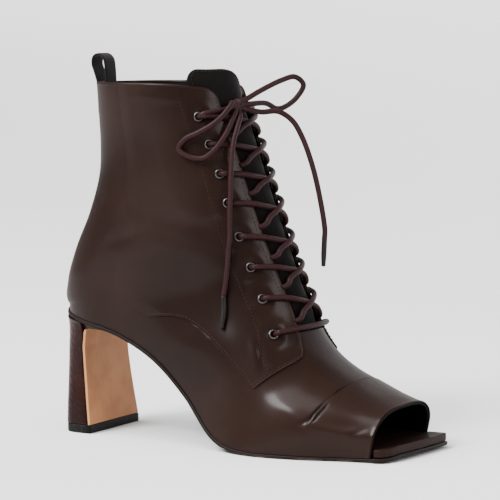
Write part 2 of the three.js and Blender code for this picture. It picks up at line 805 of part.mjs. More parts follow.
function buildZipTape() {
  const rows = 10;
  const columns = [
    { x: 2.6, height: -0.5 },
    { x: 1.4, height: -0.5 },
    { x: 1.1, height: 0.3 },
    { x: -1.1, height: 0.3 },
    { x: -1.4, height: -0.5 },
    { x: -2.6, height: -0.5 },
  ];
  const outer = [];
  const inner = [];
  for (let i = 0; i < rows; i += 1) {
    const z = ZIP_TOP + (ZIP_BOTTOM - ZIP_TOP) * (i / (rows - 1));
    columns.forEach(({ x, height }) => {
      const { row, turn } = locate(zipX(z) + x, z);
      outer.push(lifted(row, turn, height));
      inner.push(lifted(row, turn, -WALL));
    });
  }
  return thicken(outer, inner, gridFaces(rows, columns.length));
}

addPiece('zip_tape', buildZipTape(), material(COLOURS.tape, 0.8));

// The slider's own axes: local x along the boot, local y out of the leather, local z up
const sliderPlace = locate(zipX(SLIDER_Z), SLIDER_Z);
const sliderPoint = lastPoint(sliderPlace.row, sliderPlace.turn);
const sliderNormal = surfaceNormal(sliderPlace.row, sliderPlace.turn);
const slider = new THREE.Group();
slider.position.copy(sliderPoint);
slider.rotation.z = Math.atan2(-sliderNormal.x, sliderNormal.y);
boot.add(slider);

function box(width, depth, height, x, y, z) {
  return toManifold(new THREE.BoxGeometry(width, depth, height).translate(x, y, z));
}

function addSliderPiece(name, solid, look) {
  const mesh = new THREE.Mesh(toGeometry(solid), look);
  mesh.name = name;
  slider.add(mesh);
}

const sliderBody = box(5.0, 2.0, 8.6, 0, 1.7, 0)
  .add(box(1.8, 3.2, 6.6, 0, 4.0, BAR_UP + 1))
  .subtract(box(3, 1.9, 4.4, 0, 3.65, BAR_UP + 1));
addSliderPiece('zip_slider', sliderBody, material(COLOURS.chrome, 0.25, 1));

// The pull's frame: two long wires between a bar in the slider and a bar in the tag
const WIRE = 2 * BAR_RADIUS;
const wireMiddle = BAR_UP + BAR_RADIUS - PULL_LENGTH / 2;
const frameFoot = BAR_UP + WIRE - PULL_LENGTH;
const pullFrame = box(2 * PULL_HALF, WIRE, WIRE, 0, BAR_OUT, BAR_UP)
  .add(box(WIRE, WIRE, PULL_LENGTH, -PULL_HALF, BAR_OUT, wireMiddle))
  .add(box(WIRE, WIRE, PULL_LENGTH, PULL_HALF, BAR_OUT, wireMiddle))
  .add(box(2 * PULL_HALF, WIRE, WIRE, 0, BAR_OUT, frameFoot));
addSliderPiece('zip_pull_frame', pullFrame, material(COLOURS.chrome, 0.2, 1));

// The tag folds over the lower bar, with a neck between the wires and a notch round the bar
const tagTop = frameFoot + 2.2;
const pullTag = box(6.4, 1.8, TAG_LENGTH - 5, 0, BAR_OUT, tagTop - TAG_LENGTH / 2 - 2.5)
  .add(box(4.4, 2.8, 6.5, 0, BAR_OUT, tagTop - 3.25))
  .subtract(box(9, 1.8, 1.8, 0, BAR_OUT, tagTop - 2.2));
addSliderPiece('zip_pull_tag', pullTag, material(COLOURS.lining, 0.5));

// Pull loop: a strap sewn to both sides of the back seam, which stands up in a teardrop
function buildPullLoop() {
  const line = new THREE.CatmullRomCurve3([
    [23.45, 190], [23.0, 199], [22.3, 208], [20.4, 214], [18.6, 219.5], [19.6, 223.6], [23.2, 224.8],
    [26.6, 222.4], [27.8, 217], [28.3, 210], [29.2, 203], [29.7, 196],
  ].map(([x, z]) => new THREE.Vector3(x - BACK_TO_CENTRE, z, 0)));
  const steps = 18;
  const outside = [];
  const inside = [];
  for (let k = 0; k <= steps; k += 1) {
    const point = line.getPoint(k / steps);
    const tangent = line.getTangent(k / steps);
    const across = new THREE.Vector2(-tangent.y, tangent.x).multiplyScalar(LOOP_THICKNESS / 2);
    outside.push(new THREE.Vector2(point.x + across.x, point.y + across.y));
    inside.push(new THREE.Vector2(point.x - across.x, point.y - across.y));
  }
  const shape = new THREE.Shape([...outside, ...inside.reverse()]);
  const geometry = new THREE.ExtrudeGeometry(shape, { depth: LOOP_WIDTH, bevelEnabled: false });
  geometry.rotateX(Math.PI / 2);
  geometry.translate(0, LOOP_WIDTH / 2 + SIDE_SHIFT, 0);
  return geometry;
}

addPiece('pull_loop', buildPullLoop(), material(COLOURS.lining, 0.6));

// Laces: round cord. A stop on its way is a row, a distance from the throat's centre line that is
// negative on the outer side, and a height above the last.
const CORD_SIDES = 8;

function tube(points, radius, steps) {
  const profile = new THREE.Shape();
  for (let k = 0; k < CORD_SIDES; k += 1) {
    const angle = (2 * Math.PI * k) / CORD_SIDES;
    profile[k ? 'lineTo' : 'moveTo'](radius * Math.cos(angle), radius * Math.sin(angle));
  }
  const extrudePath = new THREE.CatmullRomCurve3(points);
  return new THREE.ExtrudeGeometry(profile, { steps, extrudePath, curveSegments: 1 });
}

function stopPoint({ row, half, height }) {
  return lifted(row, Math.sign(half) * turnAtHalf(row, Math.abs(half)), height);
}

// A strand lies over its facing from the eyelet on, runs down across the tongue and ends where it
// would dive under the opposite facing, most of the way to the next row of eyelets
function strand(side, index) {
  const from = EYELET_ROWS[index];
  const drop = EYELET_ROWS[index + 1] - from;
  const edgeHalf = throatHalf(from + 0.1 * drop);
  const endHalf = throatHalf(from + 0.7 * drop) - LACE_TUCK;
  const stops = [
    { down: 0.03, half: EYELET_HALF[index] - LACE_RIM, height: OVER_LEATHER },
    { down: 0.1, half: edgeHalf + 0.2, height: OVER_LEATHER },
    { down: 0.17, half: edgeHalf - 3.6, height: OVER_TONGUE + 0.5 },
    { down: 0.34, half: -1, height: OVER_TONGUE },
    { down: 0.52, half: -8, height: OVER_TONGUE },
    { down: 0.7, half: -endHalf, height: OVER_TONGUE - 0.2 },
  ];
  const points = stops.map(({ down, half, height }) => (
    stopPoint({ row: from + down * drop, half: side * half, height })
  ));
  return toManifold(tube(points, LACE_RADIUS, 4));
}

for (let index = 0; index < EYELET_ROWS.length - 1; index += 1) {
  const crossing = strand(-1, index).add(strand(1, index));
  addPiece(`lace_crossing_${index + 1}`, toGeometry(crossing), material(COLOURS.cord, 0.6));
}

// The lowest bar runs straight across from eyelet to eyelet
const LOW_ROW = EYELET_ROWS[EYELET_ROWS.length - 1];
const LOW_BAR = [-1, -0.69, -0.38, 0, 0.38, 0.69, 1].map((share) => {
  const half = share * (EYELET_HALF[EYELET_HALF.length - 1] - LACE_RIM);
  const onLeather = Math.abs(half) > throatHalf(LOW_ROW);
  return { row: LOW_ROW, half, height: onLeather ? OVER_LEATHER + 0.5 : OVER_TONGUE + 0.5 };
});

// Bow: a knot on the tongue, a strand to it from under each facing, two loops and two ends
const KNOT = { row: 0.93, half: -3, height: 3.0 };
const KNOT_SIZE = { down: 4.2, across: 5.2, out: 3.4 };
const TOP_STRANDS = {
  outer: [
    { row: 1.04, half: -12, height: 0.5 },
    { row: 1.0, half: -10.4, height: 0.9 },
    { row: 0.97, half: -8.6, height: 1.3 },
  ],
  inner: [
    { row: 1.06, half: 12, height: 0.5 },
    { row: 1.02, half: 7, height: 1.2 },
    { row: 0.98, half: 2.1, height: 1.6 },
  ],
};
const LOOP_OUTER = [
  { row: 0.71, half: -6.6, height: 6.2 },
  { row: 0.98, half: -11, height: 7.2 },
  { row: 1.38, half: -18, height: 7.0 },
  { row: 1.7, half: -23, height: 6.2 },
  { row: 1.95, half: -28, height: 4.2 },
  { row: 2.2, half: -31, height: 3.2 },
  { row: 2.46, half: -31, height: 3.2 },
  { row: 2.48, half: -28.2, height: 4.0 },
  { row: 2.3, half: -25, height: 5.8 },
  { row: 2.08, half: -22, height: 6.6 },
  { row: 1.83, half: -18, height: 6.9 },
  { row: 1.48, half: -12.5, height: 6.6 },
  { row: 1.08, half: -7.6, height: 6.2 },
];
const END_OUTER = [
  { row: 1.22, half: -4.3, height: 4.4 },
  { row: 1.5, half: -5.8, height: 6.4 },
  { row: 1.82, half: -10, height: 6.8 },
  { row: 2.4, half: -15, height: 6.8 },
  { row: 3.16, half: -19.3, height: 6.6 },
  { row: 3.6, half: -20.6, height: 6.2 },
  { row: 4.15, half: -22, height: 6.4 },
  { row: 4.8, half: -23.4, height: 5.2 },
  { row: 5.3, half: -24.8, height: 4.9 },
  { row: 6.0, half: -26.2, height: 4.5 },
  { row: 6.8, half: -27.2, height: 4.2 },
  { row: 7.6, half: -28.4, height: 3.6 },
];
const TIP_OUTER = [
  { row: 7.66, half: -28.6, height: 3.6 },
  { row: 8.6, half: -31, height: 3.4 },
  { row: 9.45, half: -33.8, height: 3.2 },
];

// The inner loop and end stand out in front of the shaft, free of the leather
const LOOP_INNER = [
  { x: 4.1, y: -1, z: 200.4 },
  { x: 8, y: 8, z: 204.8 },
  { x: 14.7, y: 20, z: 210.3 },
  { x: 19.6, y: 27, z: 212.1 },
  { x: 23, y: 31, z: 207.5 },
  { x: 19.9, y: 28, z: 199.8 },
  { x: 15.4, y: 22, z: 194.6 },
  { x: 12.7, y: 18, z: 193.7 },
  { x: 9.6, y: 10, z: 197 },
  { x: 6.1, y: -0.6, z: 197 },
];
const END_INNER = [
  { x: 5.6, y: -3, z: 193.6 },
  { x: 10, y: 4, z: 192.2 },
  { x: 17.9, y: 10, z: 192.4 },
  { x: 25.2, y: 13, z: 187.4 },
  { x: 31, y: 14, z: 178.5 },
  { x: 37.9, y: 14, z: 162.1 },
  { x: 43, y: 14, z: 143.4 },
  { x: 46.4, y: 14, z: 124.6 },
  { x: 46.2, y: 14, z: 119.6 },
];
const TIP_INNER = [
  { x: 46.15, y: 14, z: 119.1 },
  { x: 45.8, y: 14, z: 111 },
  { x: 45.5, y: 14, z: 103 },
];

function addCord(name, points, steps, radius = LACE_RADIUS, look = material(COLOURS.cord, 0.6)) {
  addPiece(name, tube(points, radius, steps), look);
}

const freePoints = (stops) => stops.map(({ x, y, z }) => new THREE.Vector3(x, y, z));
const tipLook = () => material(COLOURS.rubber, 0.4);

addCord('lace_bar_low', LOW_BAR.map(stopPoint), 8);
addCord('lace_top_outer', TOP_STRANDS.outer.map(stopPoint), 2);
addCord('lace_top_inner', TOP_STRANDS.inner.map(stopPoint), 3);

const knotShape = new THREE.SphereGeometry(1, 8, 6);
knotShape.scale(KNOT_SIZE.down, KNOT_SIZE.across, KNOT_SIZE.out);
const knot = addPiece('lace_knot', knotShape, material(COLOURS.cord, 0.6));
knot.position.copy(stopPoint(KNOT));
knot.rotation.set(0, Math.PI / 2, 0);

addCord('lace_loop_outer', LOOP_OUTER.map(stopPoint), 13);
addCord('lace_loop_inner', freePoints(LOOP_INNER), 12);
addCord('lace_end_outer', END_OUTER.map(stopPoint), 15);
addCord('lace_end_inner', freePoints(END_INNER), 13);
addCord('lace_tip_outer', TIP_OUTER.map(stopPoint), 2, LACE_TIP_RADIUS, tipLook());
addCord('lace_tip_inner', freePoints(TIP_INNER), 1, LACE_TIP_RADIUS, tipLook());

export default boot;
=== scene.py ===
"""Looks of a right peep toe ankle boot with a block heel, laced in front and zipped on its inner side.

The frame is in metres. The shapes are worked out in millimetres, x to the toe, y to the inner side
and z up, and turned into metres when a mesh is made.
"""
import json
import math

import bpy
import numpy as np
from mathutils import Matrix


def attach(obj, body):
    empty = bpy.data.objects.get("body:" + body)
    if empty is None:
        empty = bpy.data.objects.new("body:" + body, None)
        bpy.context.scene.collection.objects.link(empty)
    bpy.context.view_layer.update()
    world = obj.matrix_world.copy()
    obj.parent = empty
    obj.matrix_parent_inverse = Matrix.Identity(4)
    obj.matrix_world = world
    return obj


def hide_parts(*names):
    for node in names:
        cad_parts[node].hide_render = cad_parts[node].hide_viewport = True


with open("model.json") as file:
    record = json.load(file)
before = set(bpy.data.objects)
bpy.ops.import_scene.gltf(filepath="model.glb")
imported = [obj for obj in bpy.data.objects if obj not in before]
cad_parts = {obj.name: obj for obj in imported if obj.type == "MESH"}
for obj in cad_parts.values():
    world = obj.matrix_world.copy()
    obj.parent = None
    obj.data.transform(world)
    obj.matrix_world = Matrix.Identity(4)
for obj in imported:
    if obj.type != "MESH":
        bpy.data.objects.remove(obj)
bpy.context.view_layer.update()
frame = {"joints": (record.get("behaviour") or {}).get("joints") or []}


# Camera. It stands in front of the boot's outer side, a little above the collar, and looks slightly
# down, as in the photograph. The longer lens lets the one boot fill the square frame.
CAMERA_AT = (0.7092, -1.2456, 0.2514)
LOOKS_AT = (0.0035, 0.002, 0.1118)
LENS = 178.0
SENSOR = 36.0


def into_scene(name, data, place=(0.0, 0.0, 0.0), target=None):
    """A new object at its place, turned to face its target if it has one."""
    item = bpy.data.objects.new(name, data)
    item.location = place
    if target is not None:
        toward = np.subtract(target, place)
        level = math.hypot(toward[0], toward[1])
        tip = math.pi / 2 + math.atan2(toward[2], level)
        item.rotation_euler = (tip, 0.0, -math.atan2(toward[0], toward[1]))
    bpy.context.scene.collection.objects.link(item)
    return item


camera_data = bpy.data.cameras.new("camera")
camera_data.lens = LENS
camera_data.sensor_width = SENSOR
bpy.context.scene.camera = into_scene("camera", camera_data, CAMERA_AT, LOOKS_AT)


# The last: the form that the upper is pulled over. Every leather piece, the tongue and the laces
# are placed on it, so its sections come first. They are slanted cuts from the collar (row 0) to
# the toe opening (row 16), and turn goes round a cut from the back seam along the outer side
# (-pi) over the throat (0) to the back seam on the inner side (pi).
BACK_TO_CENTRE = 118.4
SIDE_SHIFT = -1.0
COLUMNS = ("front_x", "front_z", "back_x", "back_z", "half_front", "half_middle", "half_back",
           "shift_front", "shift_back", "crown_depth", "crown_power", "back_depth", "back_beyond")
SECTIONS = np.array([
    [114, 209, 24.5, 208, 34, 34.5, 32, 0, 0, 44, 2.0, 40, 0],
    [118, 195, 25.5, 191, 33, 34, 31, 0, 0, 44, 2.0, 40, 0],
    [124, 179, 26.5, 171, 32.5, 33.5, 30.5, 0.5, 0, 44, 2.0, 40, 0],
    [130.5, 160, 25.5, 153, 32, 34, 30.5, 1, 0, 45, 2.0, 39, 0],
    [137, 142, 19, 131, 31, 34.5, 31, 1.5, 0, 46, 2.0, 38, 0],
    [143.5, 124, 9.5, 110, 30, 35, 31, 2, 0, 46, 2.0, 38, 0],
    [148.5, 111, 3.4, 90, 30, 34.5, 31, 2.5, 0, 46, 2.0, 37, 0],
    [152, 101, 4.2, 75, 30, 34, 30, 3, 0, 46, 2.0, 36, 0],
    [155.5, 92, 25, 69, 30, 34.5, 30, 3.5, 0, 45, 2.0, 36, 22],
    [160, 81, 52, 62.5, 31, 35.5, 29.5, 4, -1, 44, 2.1, 34, 50],
    [164, 70.5, 78, 49.5, 33, 37.5, 28.5, 4.5, -3, 42, 2.1, 34, 90],
    [168.5, 60.5, 100, 30, 36, 40, 30, 5.5, -3, 40, 2.2, 34, 90],
    [174.5, 52.5, 124, 7.5, 39, 43, 39, 6.5, -2, 38, 2.3, 34, 90],
    [183.5, 45.5, 150, 2.4, 40, 45.5, 45, 7, -0.5, 34, 2.4, 34, 90],
    [195.5, 39, 177, 2.4, 40, 44.5, 44.2, 7.5, 2, 30, 2.6, 34, 90],
    [209, 32.5, 202, 2.4, 37, 40, 38.5, 7.5, 4.5, 25, 2.9, 34, 90],
    [222, 28, 218, 2.8, 34, 36, 35.5, 7, 5, 21, 3.2, 34, 90],
])
LAST_ROW = 16
FEATHER_Z = 2.4
BACK_POWER = 2.2
THROAT_ROWS = (0, 0.4, 1, 4.3, 8, 9.5, 10.4, 11.1, 11.5)
THROAT_HALF = (19, 17, 15.2, 14.5, 13.2, 14, 15.5, 18.5, 22)
THROAT_END = 10.2
SEAT_ROW = 7


def cubic(u, start, end, start_slope, end_slope):
    """The cubic from start to end at u of the way, with these slopes at its ends."""
    return (start * (2 * u**3 - 3 * u**2 + 1) + start_slope * (u**3 - 2 * u**2 + u)
            + end * (3 * u**2 - 2 * u**3) + end_slope * (u**3 - u**2))


def section(row):
    """The cut at any row: a cubic curve through the table's rows, whose slope at a row is half the
    difference of its two neighbours, and a straight line above the collar."""
    row = np.asarray(row, float)
    first = np.clip(np.floor(row), 0, LAST_ROW - 1).astype(int)
    u = (row - first)[..., None]
    start, end = SECTIONS[first], SECTIONS[first + 1]
    start_slope = (end - SECTIONS[np.maximum(first - 1, 0)]) / 2
    end_slope = (SECTIONS[np.minimum(first + 2, LAST_ROW)] - start) / 2
    values = np.where(u < 0, start + (end - start) * u, cubic(u, start, end, start_slope, end_slope))
    cut = dict(zip(COLUMNS, np.moveaxis(values, -1, 0)))
    cut["back_z"] = np.maximum(cut["back_z"], FEATHER_Z)
    cut["back_beyond"] = np.maximum(cut["back_beyond"], 0)
    return cut


def crown(distance, depth, power):
    """A rounded end: the power curve that is 0 at the tip and 1 from depth on."""
    left = np.clip(1 - distance / depth, 0, 1)
    return (1 - left**power) ** (1 / power)


def half_width(cut, q):
    """Half the cut's width at a share q of the way from front to back: a parabola through the
    three half widths, rounded off at both ends."""
    length = np.hypot(cut["back_x"] - cut["front_x"], cut["back_z"] - cut["front_z"])
    plain = (cut["half_front"] * (1 - q) * (1 - 2 * q) + 4 * cut["half_middle"] * q * (1 - q)
             + cut["half_back"] * q * (2 * q - 1))
    front = crown(q * length, cut["crown_depth"], cut["crown_power"])
    back = crown((1 - q) * length + cut["back_beyond"], cut["back_depth"], BACK_POWER)
    return plain * front * back


def last(row, turn):
    """The point on the last: along the cut by q = (1 - cos turn) / 2, and out by its half width."""
    row, turn = np.broadcast_arrays(np.asarray(row, float), np.asarray(turn, float))
    cut = section(row)
    q = turn_to_share(turn)
    middle = cut["shift_front"] * (1 - q) + cut["shift_back"] * q
    return np.stack([
        cut["front_x"] + (cut["back_x"] - cut["front_x"]) * q - BACK_TO_CENTRE,
        middle + np.sign(turn) * half_width(cut, q) + SIDE_SHIFT,
        cut["front_z"] + (cut["back_z"] - cut["front_z"]) * q,
    ], axis=-1)


def unit(vector):
    return vector / np.maximum(np.linalg.norm(vector, axis=-1, keepdims=True), 1e-9)


def outward(row, turn):
    """The last's normal: the cross product of its slopes down and round, level where the sides meet at the
    back.
    """
    row, turn = np.broadcast_arrays(np.asarray(row, float), np.asarray(turn, float))
    step = 0.02
    on_back = (np.pi - np.abs(turn) < 1e-6) & (row <= SEAT_ROW)
    at = np.where(on_back, np.pi - step, turn)
    down = last(np.minimum(row + step, LAST_ROW), at) - last(row - step, at)
    round_it = last(row, np.minimum(at + step, np.pi - 1e-6)) - last(row, np.maximum(at - step, 1e-6 - np.pi))
    normal = np.cross(down, round_it)
    normal[..., 1] = np.where(on_back, 0, normal[..., 1])
    return unit(normal)


def lifted(row, turn, height):
    """The point at a height above the last."""
    return last(row, turn) + outward(row, turn) * np.asarray(height, float)[..., None]


def share_to_turn(q):
    return np.arccos(1 - 2 * np.clip(q, 0, 1))


def turn_to_share(turn):
    return (1 - np.cos(turn)) / 2


def halved(high, too_low, times):
    """Where too_low stops being true between 0 and high, found by halving the range many times."""
    low = np.zeros(high.shape)
    for _ in range(times):
        middle = (low + high) / 2
        still = too_low(middle)
        low, high = np.where(still, middle, low), np.where(still, high, middle)
    return low


def turn_at(row, half):
    """The turn at which the last is half wide."""
    row, half = np.broadcast_arrays(np.asarray(row, float), np.asarray(half, float))
    cut = section(row)
    return share_to_turn(halved(np.full(row.shape, 0.5), lambda q: half_width(cut, q) < half, 30))


def throat_half(row):
    return np.interp(row, THROAT_ROWS, THROAT_HALF)


def facing_turn(row):
    """The turn of the facing's edge, which runs beside the throat."""
    return turn_at(row, throat_half(row))


def facing_share(row):
    return turn_to_share(facing_turn(row))


def smooth(low, high, value):
    """0 below low, 1 above high, and an S curve in between."""
    t = np.clip((np.asarray(value, float) - low) / (high - low), 0, 1)
    return t * t * (3 - 2 * t)


def arc(t):
    """The height of a quarter circle that rises from 0 at t = 0 to 1 at t = 1."""
    return np.sqrt(1 - (1 - np.clip(t, 0, 1)) ** 2)


def on_throat(stops):
    """Points of a lace: each stop is a row, a distance from the throat's centre line that is
    negative on the outer side, and a height above the last."""
    row, half, height = np.array(stops, float).T
    return lifted(row, np.sign(half) * turn_at(row, np.abs(half)), height)


# Shader maths and mesh making, which every piece below uses.
class Value:
    """A node's output in one material. Sums, products and powers of it add Math nodes."""

    def __init__(self, look, socket):
        self.look, self.socket = look, socket

    def math(self, operation, *others):
        inputs = {i: v for i, v in enumerate(others)}
        return self.look.add("Math", {"operation": operation}, inputs)

    def __add__(self, other): return self.math("ADD", self, other)
    def __radd__(self, other): return self.math("ADD", other, self)
    def __sub__(self, other): return self.math("SUBTRACT", self, other)
    def __rsub__(self, other): return self.math("SUBTRACT", other, self)
    def __mul__(self, other): return self.math("MULTIPLY", self, other)
    def __rmul__(self, other): return self.math("MULTIPLY", other, self)
    def __pow__(self, other): return self.math("POWER", self, other)
    def sine(self): return self.math("SINE", self)

    def between(self, low, high):
        """0 at low, 1 at high, and an S curve in between."""
        inputs = {"Value": self, "From Min": low, "From Max": high}
        return self.look.add("MapRange", {"interpolation_type": "SMOOTHSTEP"}, inputs)


class Look:
    """One material. add() makes any node, and the rest are the few nodes that come again and again."""

    def __init__(self, name, **uniform):
        self.material = bpy.data.materials.new(name)
        self.material.use_nodes = True
        self.tree = self.material.node_tree
        self.tree.nodes.clear()
        output = self.tree.nodes.new("ShaderNodeOutputMaterial")
        self.shader = self.tree.nodes.new("ShaderNodeBsdfPrincipled")
        self.tree.links.new(self.shader.outputs[0], output.inputs["Surface"])
        for key, value in uniform.items():
            self.shader.inputs[key.replace("_", " ").title().replace("Ior", "IOR")].default_value = value

    def put(self, socket, value):
        if isinstance(value, Value):
            self.tree.links.new(value.socket, socket)
        elif isinstance(value, tuple) and len(value) == 3 and socket.type == "RGBA":
            socket.default_value = (*value, 1.0)
        else:
            socket.default_value = value

    def add(self, kind, settings=None, inputs=None, out=0):
        node = self.tree.nodes.new("ShaderNode" + kind)
        for key, value in (settings or {}).items():
            setattr(node, key, value)
        for key, value in (inputs or {}).items():
            self.put(node.inputs[key], value)
        return Value(self, node.outputs[out])

    def place(self, scale=(1.0, 1.0, 1.0), turned=(0.0, 0.0, 0.0)):
        spot = self.add("TexCoord", out="Object")
        return self.add("Mapping", {}, {"Vector": spot, "Scale": scale, "Rotation": turned})

    def noise(self, spot, scale, detail=3.0, roughness=0.55):
        inputs = {"Vector": spot, "Scale": scale, "Detail": detail, "Roughness": roughness}
        return self.add("TexNoise", {}, inputs)

    def cells(self, spot, scale):
        """The distance to the edge of the nearest cell."""
        inputs = {"Vector": spot, "Scale": scale}
        return self.add("TexVoronoi", {"feature": "DISTANCE_TO_EDGE"}, inputs, "Distance")

    def attribute(self, name):
        return self.add("Attribute", {"attribute_name": name}, out="Fac")

    def mix(self, share, low, high):
        """One colour for share 0 and the other for share 1."""
        return self.add("Mix", {"data_type": "RGBA"}, {0: share, 6: low, 7: high}, 2)

    def bump(self, height, millimetres, normal=None):
        inputs = {"Height": height, "Strength": 1.0, "Distance": millimetres / 1000}
        if normal is not None:
            inputs["Normal"] = normal
        return self.add("Bump", {}, inputs)

    def part(self, vector, letter):
        return self.add("SeparateXYZ", {}, {0: vector}, letter)

    def uv(self, letter):
        return self.part(self.add("UVMap", {"uv_map": "UVMap"}), letter)

    def finish(self, **varying):
        for key, value in varying.items():
            self.put(self.shader.inputs[key.replace("_", " ").title()], value)
        return self.material


def add_mesh(name, points, faces, look, slot, replaced=(), body="boot", uv=None, marks=None):
    """A piece from points in millimetres and faces, with the nodes that it replaces. uv has a pair
    and marks a number per point."""
    mesh = bpy.data.meshes.new(name)
    mesh.from_pydata((np.reshape(points, (-1, 3)) / 1000).tolist(), [], [list(map(int, f)) for f in faces])
    mesh.polygons.foreach_set("use_smooth", np.ones(len(mesh.polygons), bool))
    if uv is not None:
        corner = np.zeros(len(mesh.loops), int)
        mesh.loops.foreach_get("vertex_index", corner)
        at = np.asarray(uv, float)[corner]
        face = np.repeat(np.arange(len(faces)), [len(f) for f in faces])
        widest = np.zeros(len(faces))
        np.maximum.at(widest, face, at[:, 0])
        at[:, 0] += (widest[face] - at[:, 0] > 0.5) & (widest[face] <= 1.0)
        mesh.uv_layers.new(name="UVMap").data.foreach_set("uv", at.ravel())
    for key, values in (marks or {}).items():
        field = mesh.attributes.new(key, "FLOAT", "POINT")
        field.data.foreach_set("value", np.asarray(values, float).ravel())
    mesh.materials.append(look)
    mesh.update()
    piece = into_scene(name, mesh)
    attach(piece, body)
    if replaced:
        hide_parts(*replaced)
    return piece


def grid_faces(rows, columns, shut=False, ring=False, kept=None):
    """Four corners for each cell of a grid, down a column and then along a row. shut joins the
    last column to the first, ring the last row to the first, and kept masks the cells that stay."""
    i, j = np.meshgrid(np.arange(rows if ring else rows - 1), np.arange(columns if shut else columns - 1),
                       indexing="ij")
    after, beside = (i + 1) % rows * columns, (j + 1) % columns
    faces = np.stack([i * columns + j, after + j, after + beside, i * columns + beside], axis=-1)
    return faces[kept] if kept is not None else faces.reshape(-1, 4)


def closed_loft(rings, inside_out=False, ring=False):
    """Points and faces of a closed skin through rings with as many points each. Its two ends get a
    face each, or are joined with ring."""
    rings = np.asarray(rings)
    rows, columns = rings.shape[:2]
    faces = grid_faces(rows, columns, True, ring).tolist()
    if not ring:
        faces += [list(range(columns)), list(range((rows - 1) * columns, rows * columns))[::-1]]
    return rings.reshape(-1, 3), [face[::-1] for face in faces] if inside_out else faces


def many_lofts(lofts, inside_out=False, ring=False):
    """The same for many lofts with as many rings each, in one mesh."""
    faces = closed_loft(lofts[0], inside_out, ring)[1]
    size = lofts.shape[1] * lofts.shape[2]
    every = [[corner + k * size for corner in face] for k in range(len(lofts)) for face in faces]
    return lofts.reshape(-1, 3), every


def around(count):
    """Angles evenly spaced round a circle."""
    return np.linspace(0, 2 * np.pi, count, endpoint=False)


def tube(path, right, up, wide, high, sides, ring=False):
    """A closed tube: at each point of a path an ellipse, wide along right and high along up."""
    angle = around(sides)[:, None]
    wide, high = np.reshape(wide, (-1, 1, 1)), np.reshape(high, (-1, 1, 1))
    right, up = np.atleast_2d(right)[:, None], np.atleast_2d(up)[:, None]
    rings = path[:, None] + wide * np.cos(angle) * right + high * np.sin(angle) * up
    return closed_loft(rings, inside_out=True, ring=ring)


def thicken(piece, millimetres):
    """Gives a sheet its thickness, inwards."""
    wall = piece.modifiers.new("wall", "SOLIDIFY")
    wall.thickness = millimetres / 1000
    wall.offset = -1.0
    wall.use_even_offset = False
    return piece


def round_edges(piece, millimetres, segments=2, angle=35):
    """Rounds every edge that is sharper than angle."""
    bevel = piece.modifiers.new("edges", "BEVEL")
    bevel.width = millimetres / 1000
    bevel.segments = segments
    bevel.limit_method = "ANGLE"
    bevel.angle_limit = math.radians(angle)
    return piece


# Laces. One round waxed cotton cord, braided on the slant, runs from the lowest pair of eyelets up
# to the bow. The bow's two loops and two ends hang free, and each end has a dark moulded tip.
LACE_RADIUS = 1.6
LACE_RIM = 3.6
LACE_TUCK = 3.1
OVER_LEATHER = 2.9
OVER_TONGUE = 2.0
EYELET_ROWS = (1.28, 2.2, 3.08, 3.98, 5.04, 6.4, 8.3, 10.05)
EYELET_HALF = (25.6, 24.8, 24.2, 24.2, 23.6, 23.0, 23.4, 26.6)
KNOT_AT = (0.97, -8.2, 3.1)
LOOP_OUTER = [
    (0.93, -11.2, 5.2), (1.1, -14.2, 6.7), (1.4, -18.5, 7.0), (1.64, -22.8, 6.4), (1.83, -27.2, 4.7),
    (1.99, -30.4, 3.4), (2.26, -31.9, 3.1), (2.51, -30.8, 3.2), (2.6, -27.8, 4.0), (2.44, -24.6, 5.6),
    (2.17, -21.2, 6.5), (1.85, -17.6, 6.8), (1.52, -14.2, 6.4), (1.24, -11.0, 5.4),
]
END_OUTER = [
    (1.34, -8.6, 4.8), (1.52, -10.6, 6.2), (1.8, -13.5, 6.8), (2.3, -17.4, 6.8), (3.1, -21.0, 6.8),
    (3.75, -23.0, 6.7), (4.3, -24.7, 6.2), (5.0, -26.4, 4.9), (5.6, -27.9, 3.5), (6.4, -29.2, 3.0),
    (7.2, -30.4, 2.9), (7.9, -31.8, 2.8),
]
TIP_OUTER = [(7.8, -31.6, 2.8), (7.9, -31.8, 2.8), (8.6, -33.4, 2.8), (9.45, -36, 2.8)]
LOOP_INNER = [
    (4.1, -1, 200.4), (8, 8, 204.8), (14.7, 20, 210.3), (19.6, 27, 212.1), (23, 31, 207.5),
    (19.9, 28, 199.8), (15.4, 22, 194.6), (12.7, 18, 193.7), (9.6, 10, 197), (6.1, -0.6, 197),
]
END_INNER = [
    (5.6, -3, 193.6), (10, 4, 192.2), (17.9, 10, 192.4), (25.2, 13, 187.4), (31, 14, 178.5),
    (37.9, 14, 162.1), (43, 14, 143.4), (46.4, 14, 124.6), (46.2, 14, 119.6),
]
TIP_INNER = [(46.3, 14, 121.6), (46.2, 14, 119.6), (45.8, 14, 111), (45.5, 14, 103)]
BRAID_PITCH = 5.2
PATH_STEP = 0.55
TOP_START = [(1.3, 25.7, -1.2), (1.27, 25.3, 1.6), (1.2, 23.8, 3.35), (1.16, 21.5, 3.1), (1.12, 17.0, 2.9)]
TOP_OUTER = [(1.07, -13.5, 1.9), (1.0, -10.4, 0.9), (0.97, -8.6, 1.3), (0.95, -6.4, 1.9)]
TOP_INNER = [(1.07, 12.5, 1.6), (1.02, 7, 1.2), (0.98, 2.1, 1.6), (0.97, -4.5, 2.4)]
SIDES = ((-1, "outer"), (1, "inner"))


def lengths(path):
    """How far along a path each of its points lies."""
    return np.concatenate([[0], np.cumsum(np.linalg.norm(np.diff(path, axis=0), axis=1))])


def between_rows(where, at, table):
    """Values between a table's rows, which stand at the places at: straight lines in each column."""
    return np.stack([np.interp(where, at, column) for column in np.transpose(table)], axis=-1)


